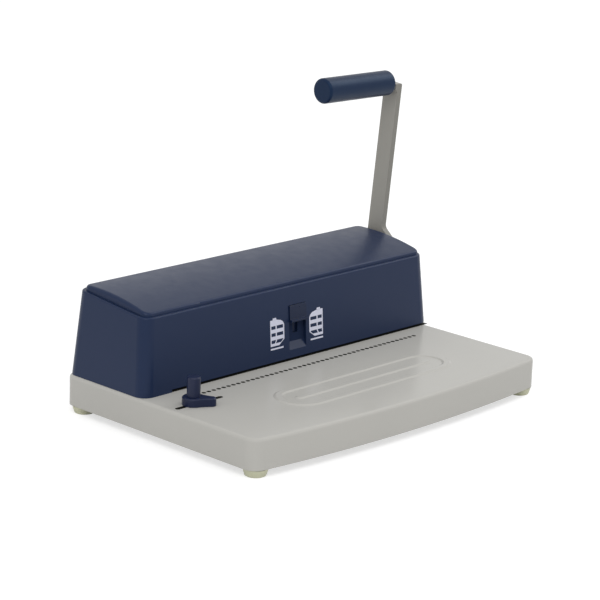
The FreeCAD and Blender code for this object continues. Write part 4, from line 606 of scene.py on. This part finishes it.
def return_spring(side, material):
    """Open coil with flat ends, standing on the guide plate under the ram's ear."""
    node = "return_spring_" + side
    low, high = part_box(node)
    foot = Vector(((low.x + high.x) / 2, (low.y + high.y) / 2, low.z))
    radius = (high.x - low.x - SPRING_WIRE) / 2
    rise = high.z - low.z - SPRING_WIRE
    bm = bmesh.new()
    rings = []
    for step in range(SPRING_TURNS * SPRING_STEPS_PER_TURN + 1):
        turns = step / SPRING_STEPS_PER_TURN
        share = (turns - SPRING_END_TURN) / (SPRING_TURNS - 2 * SPRING_END_TURN)
        z = SPRING_WIRE / 2 + rise * min(1.0, max(0.0, share))
        rings.append(coil_ring(bm, foot, radius, 2 * math.pi * turns, z))
    join_rings(bm, rings)
    piece = mesh_piece("return_coil_" + side, bm, material, "base")
    smooth(piece, ROUND_SMOOTH_DEG)
    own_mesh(piece)
    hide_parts(node)


# Pictograms
class FrontWall:
    """The cover's leaning front wall, with places on it given along X and up the slope."""

    def __init__(self):
        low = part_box("cover_shell")[0]
        button_low, button_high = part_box("selector_button")
        lean = math.radians(COVER_DRAFT_DEG)
        self.middle_x = (button_low.x + button_high.x) / 2
        self.foot = Vector((0, low.y, low.z))
        self.up = Vector((0, math.sin(lean), math.cos(lean)))
        self.out = Vector((0, -math.cos(lean), math.sin(lean)))

    def place(self, x, rise, proud):
        """Place from the selector's middle, up the slope from the foot, and out of the wall."""
        return self.foot + Vector((self.middle_x + x, 0, 0)) + self.up * rise + self.out * proud


def icon_edge(share):
    """How far the shaped side of the pictogram reaches at a share of its height, from 0 to 1."""
    if share > ICON_SHOULDER_RISE:
        past = (share - ICON_SHOULDER_RISE) / (1 - ICON_SHOULDER_RISE)
        return ICON_TOP_REACH + (1 - ICON_TOP_REACH) * math.sqrt(max(0.0, 1 - past ** 2))
    if share < ICON_WAIST_RISE:
        return ICON_FOOT_REACH + (1 - ICON_FOOT_REACH) * share / ICON_WAIST_RISE
    return 1.0


def add_patch(bm, wall, corners):
    """Thin raised patch of ink on the wall, over a ring of (x, rise) corners."""
    add_plate(bm, [wall.place(x, rise, 0.0) for x, rise in corners], wall.out * ICON_PROUD)


def pictogram(name, wall, offset, flip, material):
    """A generic stack of bound leaves: bands with a spine and a shaped outer side."""
    bm = bmesh.new()
    heights = sorted({0.0, 1.0} | {edge for slit in ICON_SLITS for edge in slit})

    def at(across, share):
        """Place on the wall, from shares of the body's width and height."""
        return offset + ICON_WIDTH * (across - 0.5) * flip, ICON_BODY_LOW + ICON_BODY_HEIGHT * share

    def band(bottom, top, low, high):
        """Patch between two heights, each with its own (left, right) pair of shares."""
        corners = ((bottom[0], low), (bottom[1], low), (top[1], high), (top[0], high))
        add_patch(bm, wall, [at(across, share) for across, share in corners])

    def strip(left, right, low, high):
        """Bands between two heights, which follow the shaped side."""
        for step in range(ICON_BAND_STEPS):
            below = low + (high - low) * step / ICON_BAND_STEPS
            above = low + (high - low) * (step + 1) / ICON_BAND_STEPS
            bottom = (left * icon_edge(below), right * icon_edge(below))
            top = (left * icon_edge(above), right * icon_edge(above))
            band(bottom, top, below, above)

    for low, high in zip(heights, heights[1:]):
        if (low, high) in ICON_SLITS:
            for left, right in ICON_RIBS:
                strip(left, right, low, high)
        else:
            strip(0.0, 1.0, low, high)
    band(ICON_TAB_FOOT, ICON_TAB_TIP, ICON_TAB_LOW, 1.0 + ICON_TAB_HEIGHT / ICON_BODY_HEIGHT)
    bar = (0.0, ICON_BAR_END)
    bar_low = (ICON_BAR_LOW - ICON_BODY_LOW) / ICON_BODY_HEIGHT
    band(bar, bar, bar_low, bar_low + ICON_BAR_HEIGHT / ICON_BODY_HEIGHT)
    return mesh_piece(name, bm, material, "base")


def pictograms():
    """The two printed marks, with their shaped sides towards the selector."""
    wall = FrontWall()
    material = ink("Print_white_ink", PRINT_WHITE)
    pictogram("print_mark_left", wall, ICON_LEFT_OFFSET, 1, material)
    pictogram("print_mark_right", wall, ICON_RIGHT_OFFSET, -1, material)


# Dark strips, liners and caps as painted shade, and the pocket's lip
def throat_shade_strip():
    """Black strip on the deck inside the throat, where the sheet slides in: painted shade for the
    shadow under the cover's front wall.
    """
    shell_low, shell_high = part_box("cover_shell")
    die_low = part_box("die_plate")[0]
    left = die_low.x + SPACER_WIDTH
    right = shell_high.x - THROAT_STRIP_BACK
    front = shell_low.y + THROAT_STRIP_BACK
    corners = ((left, front), (right, front), (right, die_low.y), (left, die_low.y))
    spots = [Vector((x, y, shell_low.z)) for x, y in corners]
    material = dark_plastic("Throat_painted_shade_plastic", PAINTED_SHADE_DARK)
    bm = bmesh.new()
    add_plate(bm, spots, Vector((0, 0, THROAT_STRIP_THICKNESS)))
    mesh_piece("throat_shade_strip", bm, material, "base")


def slot_ring(bm, middle, radius, z):
    """Ring of vertices round the slot's outline at one height."""
    ring = []
    for side in (0, 1):
        centre = middle.x + (1 - 2 * side) * (SLOT_LENGTH - SLOT_WIDTH) / 2
        for step in range(SLOT_END_STEPS + 1):
            turn = math.pi * (step / SLOT_END_STEPS - 0.5 + side)
            x = centre + radius * math.cos(turn)
            y = middle.y + radius * math.sin(turn)
            ring.append(bm.verts.new((x, y, z)))
    return ring


def slot_shade_liner():
    """Thin black liner in the side stop's slot, with a narrow lip on the deck: painted shade for the
    dark hollow of the base seen through the slot.
    """
    nut_low, nut_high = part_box("stop_nut")
    knob_low, knob_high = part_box("stop_knob")
    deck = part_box("cover_shell")[0].z
    left = (knob_low.x + knob_high.x) / 2 - SLOT_STOP_ALONG
    middle = Vector((left + SLOT_LENGTH / 2, (nut_low.y + nut_high.y) / 2, deck))
    hole = SLOT_WIDTH / 2
    inside = hole - SLOT_LINER_WALL
    bottom = deck - TRAY_SHEET
    top = deck + SLOT_LIP_HEIGHT
    section = ((inside, bottom), (hole, bottom), (hole, deck),
               (hole + SLOT_LIP_WIDTH, deck), (hole + SLOT_LIP_TOP_WIDTH, top), (inside, top))
    material = dark_plastic("Slot_painted_shade_plastic", PAINTED_SHADE_DARK)
    bm = bmesh.new()
    join_rings(bm, [slot_ring(bm, middle, radius, z) for radius, z in section], closed=True)
    mesh_piece("slot_shade_liner", bm, material, "base")


def stud_caps():
    """Low dark domes over the gauge studs, their colour darkened as painted shade for the row's dark
    dots.
    """
    low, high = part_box("stud_strip")
    middle = (low + high) / 2
    profile = [(STUD_CAP_RADIUS * share, STUD_CAP_HEIGHT * rise) for share, rise in STUD_CAP_DOME]
    bm = bmesh.new()
    for index in range(STUD_COUNT):
        seat = Vector((middle.x + STUD_PITCH * (index - (STUD_COUNT - 1) / 2), middle.y, high.z))
        add_turned(bm, seat, Vector((0, 0, 1)), profile, STUD_CAP_SEGMENTS)
    piece = mesh_piece("stud_caps", bm, stud_plastic_with_painted_shade(), "base")
    smooth(piece, ROUND_SMOOTH_DEG)


def pocket_shade_liner():
    """Dark matte plates on the pocket's floor, round the slot that the selector's shank runs in:
    painted shade for the recess below the button.
    """
    wall = FrontWall()
    half = POCKET_WIDTH / 2
    slot = POCKET_SLOT_WIDTH / 2
    low = POCKET_LIP - POCKET_HEIGHT / 2
    high = POCKET_HEIGHT / 2
    plates = ((-half, -slot, low, high), (slot, half, low, high),
              (-slot, slot, low, POCKET_SLOT_LOW), (-slot, slot, POCKET_SLOT_HIGH, high))
    material = dark_plastic("Pocket_painted_shade_plastic", POCKET_SHADE_NAVY)
    bm = bmesh.new()
    for left, right, bottom, top in plates:
        corners = ((left, bottom), (right, bottom), (right, top), (left, top))
        spots = [wall.place(x, POCKET_MIDDLE_RISE + rise, -POCKET_DEPTH) for x, rise in corners]
        add_plate(bm, spots, wall.out * POCKET_LINER)
    mesh_piece("pocket_shade_liner", bm, material, "base")


def pocket_lip():
    """Polished plate on the slope at the foot of the pocket."""
    wall = FrontWall()
    half = POCKET_WIDTH / 2 - POCKET_LINER
    bottom = POCKET_MIDDLE_RISE - POCKET_HEIGHT / 2
    top = bottom + POCKET_LIP
    spots = [wall.place(-half, bottom, 0.0), wall.place(half, bottom, 0.0),
             wall.place(half, top, -POCKET_DEPTH), wall.place(-half, top, -POCKET_DEPTH)]
    slope = (spots[3] - spots[0]).normalized()
    outward = Vector((1, 0, 0)).cross(slope)
    material = moulded_plastic("Pocket_lip_plastic", COVER_NAVY, rough=0.25, specular=0.45, grain=0.003)
    bm = bmesh.new()
    add_plate(bm, spots, outward * POCKET_LINER)
    mesh_piece("pocket_lip", bm, material, "base")


# Floor, light and camera
def floor_material():
    """White floor that takes the object's shadow, lifted by its own light where it is seen."""
    material, tree, shader = new_material("Floor_white")
    mix = tree.nodes.new("ShaderNodeMix")
    mix.data_type = "RGBA"
    mix.inputs["A"].default_value = (FLOOR_ALBEDO, FLOOR_ALBEDO, FLOOR_ALBEDO, 1)
    mix.inputs["B"].default_value = (FLOOR_SEEN_ALBEDO, FLOOR_SEEN_ALBEDO, FLOOR_SEEN_ALBEDO, 1)
    tree.links.new(seen_directly(tree, 1.0), mix.inputs["Factor"])
    tree.links.new(mix.outputs["Result"], shader.inputs["Base Color"])
    shader.inputs["Roughness"].default_value = 0.9
    shader.inputs["Specular IOR Level"].default_value = 0.0
    shader.inputs["Emission Color"].default_value = (1, 1, 1, 1)
    tree.links.new(seen_directly(tree, FLOOR_LIFT), shader.inputs["Emission Strength"])
    return material


def seen_directly(tree, level):
    """The level for camera, mirror and glass rays, and nothing for the rays that light the object."""
    path = tree.nodes.new("ShaderNodeLightPath")
    total = path.outputs["Is Camera Ray"]
    for name in ("Is Glossy Ray", "Is Transmission Ray"):
        greater = tree.nodes.new("ShaderNodeMath")
        greater.operation = "MAXIMUM"
        tree.links.new(total, greater.inputs[0])
        tree.links.new(path.outputs[name], greater.inputs[1])
        total = greater.outputs["Value"]
    scale = tree.nodes.new("ShaderNodeMath")
    scale.operation = "MULTIPLY"
    scale.inputs[1].default_value = level
    tree.links.new(total, scale.inputs[0])
    return scale.outputs["Value"]


def add_floor():
    """Wide table top under the feet."""
    bm = bmesh.new()
    bmesh.ops.create_grid(bm, x_segments=FLOOR_GRID, y_segments=FLOOR_GRID, size=FLOOR_HALF)
    mesh = bpy.data.meshes.new("floor")
    bm.to_mesh(mesh)
    bm.free()
    mesh.materials.append(floor_material())
    floor = bpy.data.objects.new("floor", mesh)
    bpy.context.scene.collection.objects.link(floor)


def add_world():
    """Even white surroundings, at full level where they are seen."""
    world = bpy.data.worlds.new("Studio")
    world.use_nodes = True
    bpy.context.scene.world = world
    tree = world.node_tree
    background = tree.nodes["Background"]
    background.inputs["Color"].default_value = (1, 1, 1, 1)
    base = tree.nodes.new("ShaderNodeMath")
    base.operation = "ADD"
    base.inputs[1].default_value = WORLD_LEVEL
    tree.links.new(seen_directly(tree, 1 - WORLD_LEVEL), base.inputs[0])
    tree.links.new(base.outputs["Value"], background.inputs["Strength"])


def add_area_light(name, place, size, watts):
    """Round soft light, aimed at the origin."""
    data = bpy.data.lights.new(name, "AREA")
    data.shape = "DISK"
    data.size = size
    data.energy = watts
    light = bpy.data.objects.new(name, data)
    aim = (-place).to_track_quat("-Z", "Y").to_matrix().to_4x4()
    light.matrix_world = Matrix.Translation(place) @ aim
    bpy.context.scene.collection.objects.link(light)


def add_camera():
    """Camera at the photograph's place, which looks down and along the table."""
    data = bpy.data.cameras.new("Camera")
    data.sensor_width = SENSOR_MM
    data.lens = LENS_MM
    data.clip_start = CLIP_NEAR
    data.clip_end = CLIP_FAR
    camera = bpy.data.objects.new("Camera", data)
    turn = Matrix.Rotation(math.radians(-CAMERA_AZIMUTH_DEG), 4, "Z")
    tilt = Matrix.Rotation(math.radians(90 - CAMERA_ELEVATION_DEG), 4, "X")
    roll = Matrix.Rotation(math.radians(CAMERA_ROLL_DEG), 4, "Z")
    camera.matrix_world = Matrix.Translation(CAMERA_EYE) @ turn @ tilt @ roll
    bpy.context.scene.collection.objects.link(camera)
    bpy.context.scene.camera = camera


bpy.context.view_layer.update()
add_camera()
add_world()
add_floor()
add_area_light("Side", SIDE_PLACE, SIDE_SIZE, SIDE_WATTS)
add_area_light("Key", KEY_PLACE, KEY_SIZE, KEY_WATTS)
bpy.context.scene.view_settings.view_transform = "Standard"
materials = slot_materials()
dress_frame(materials)
pictograms()
throat_shade_strip()
slot_shade_liner()
stud_caps()
pocket_shade_liner()
pocket_lip()
foot_screws(materials["zinc_plate"])
cover_screws(materials["zinc_plate"])
lever_screw(materials["zinc_plate"])
for end in ("left", "right"):
    return_spring(end, materials["bright_steel"])
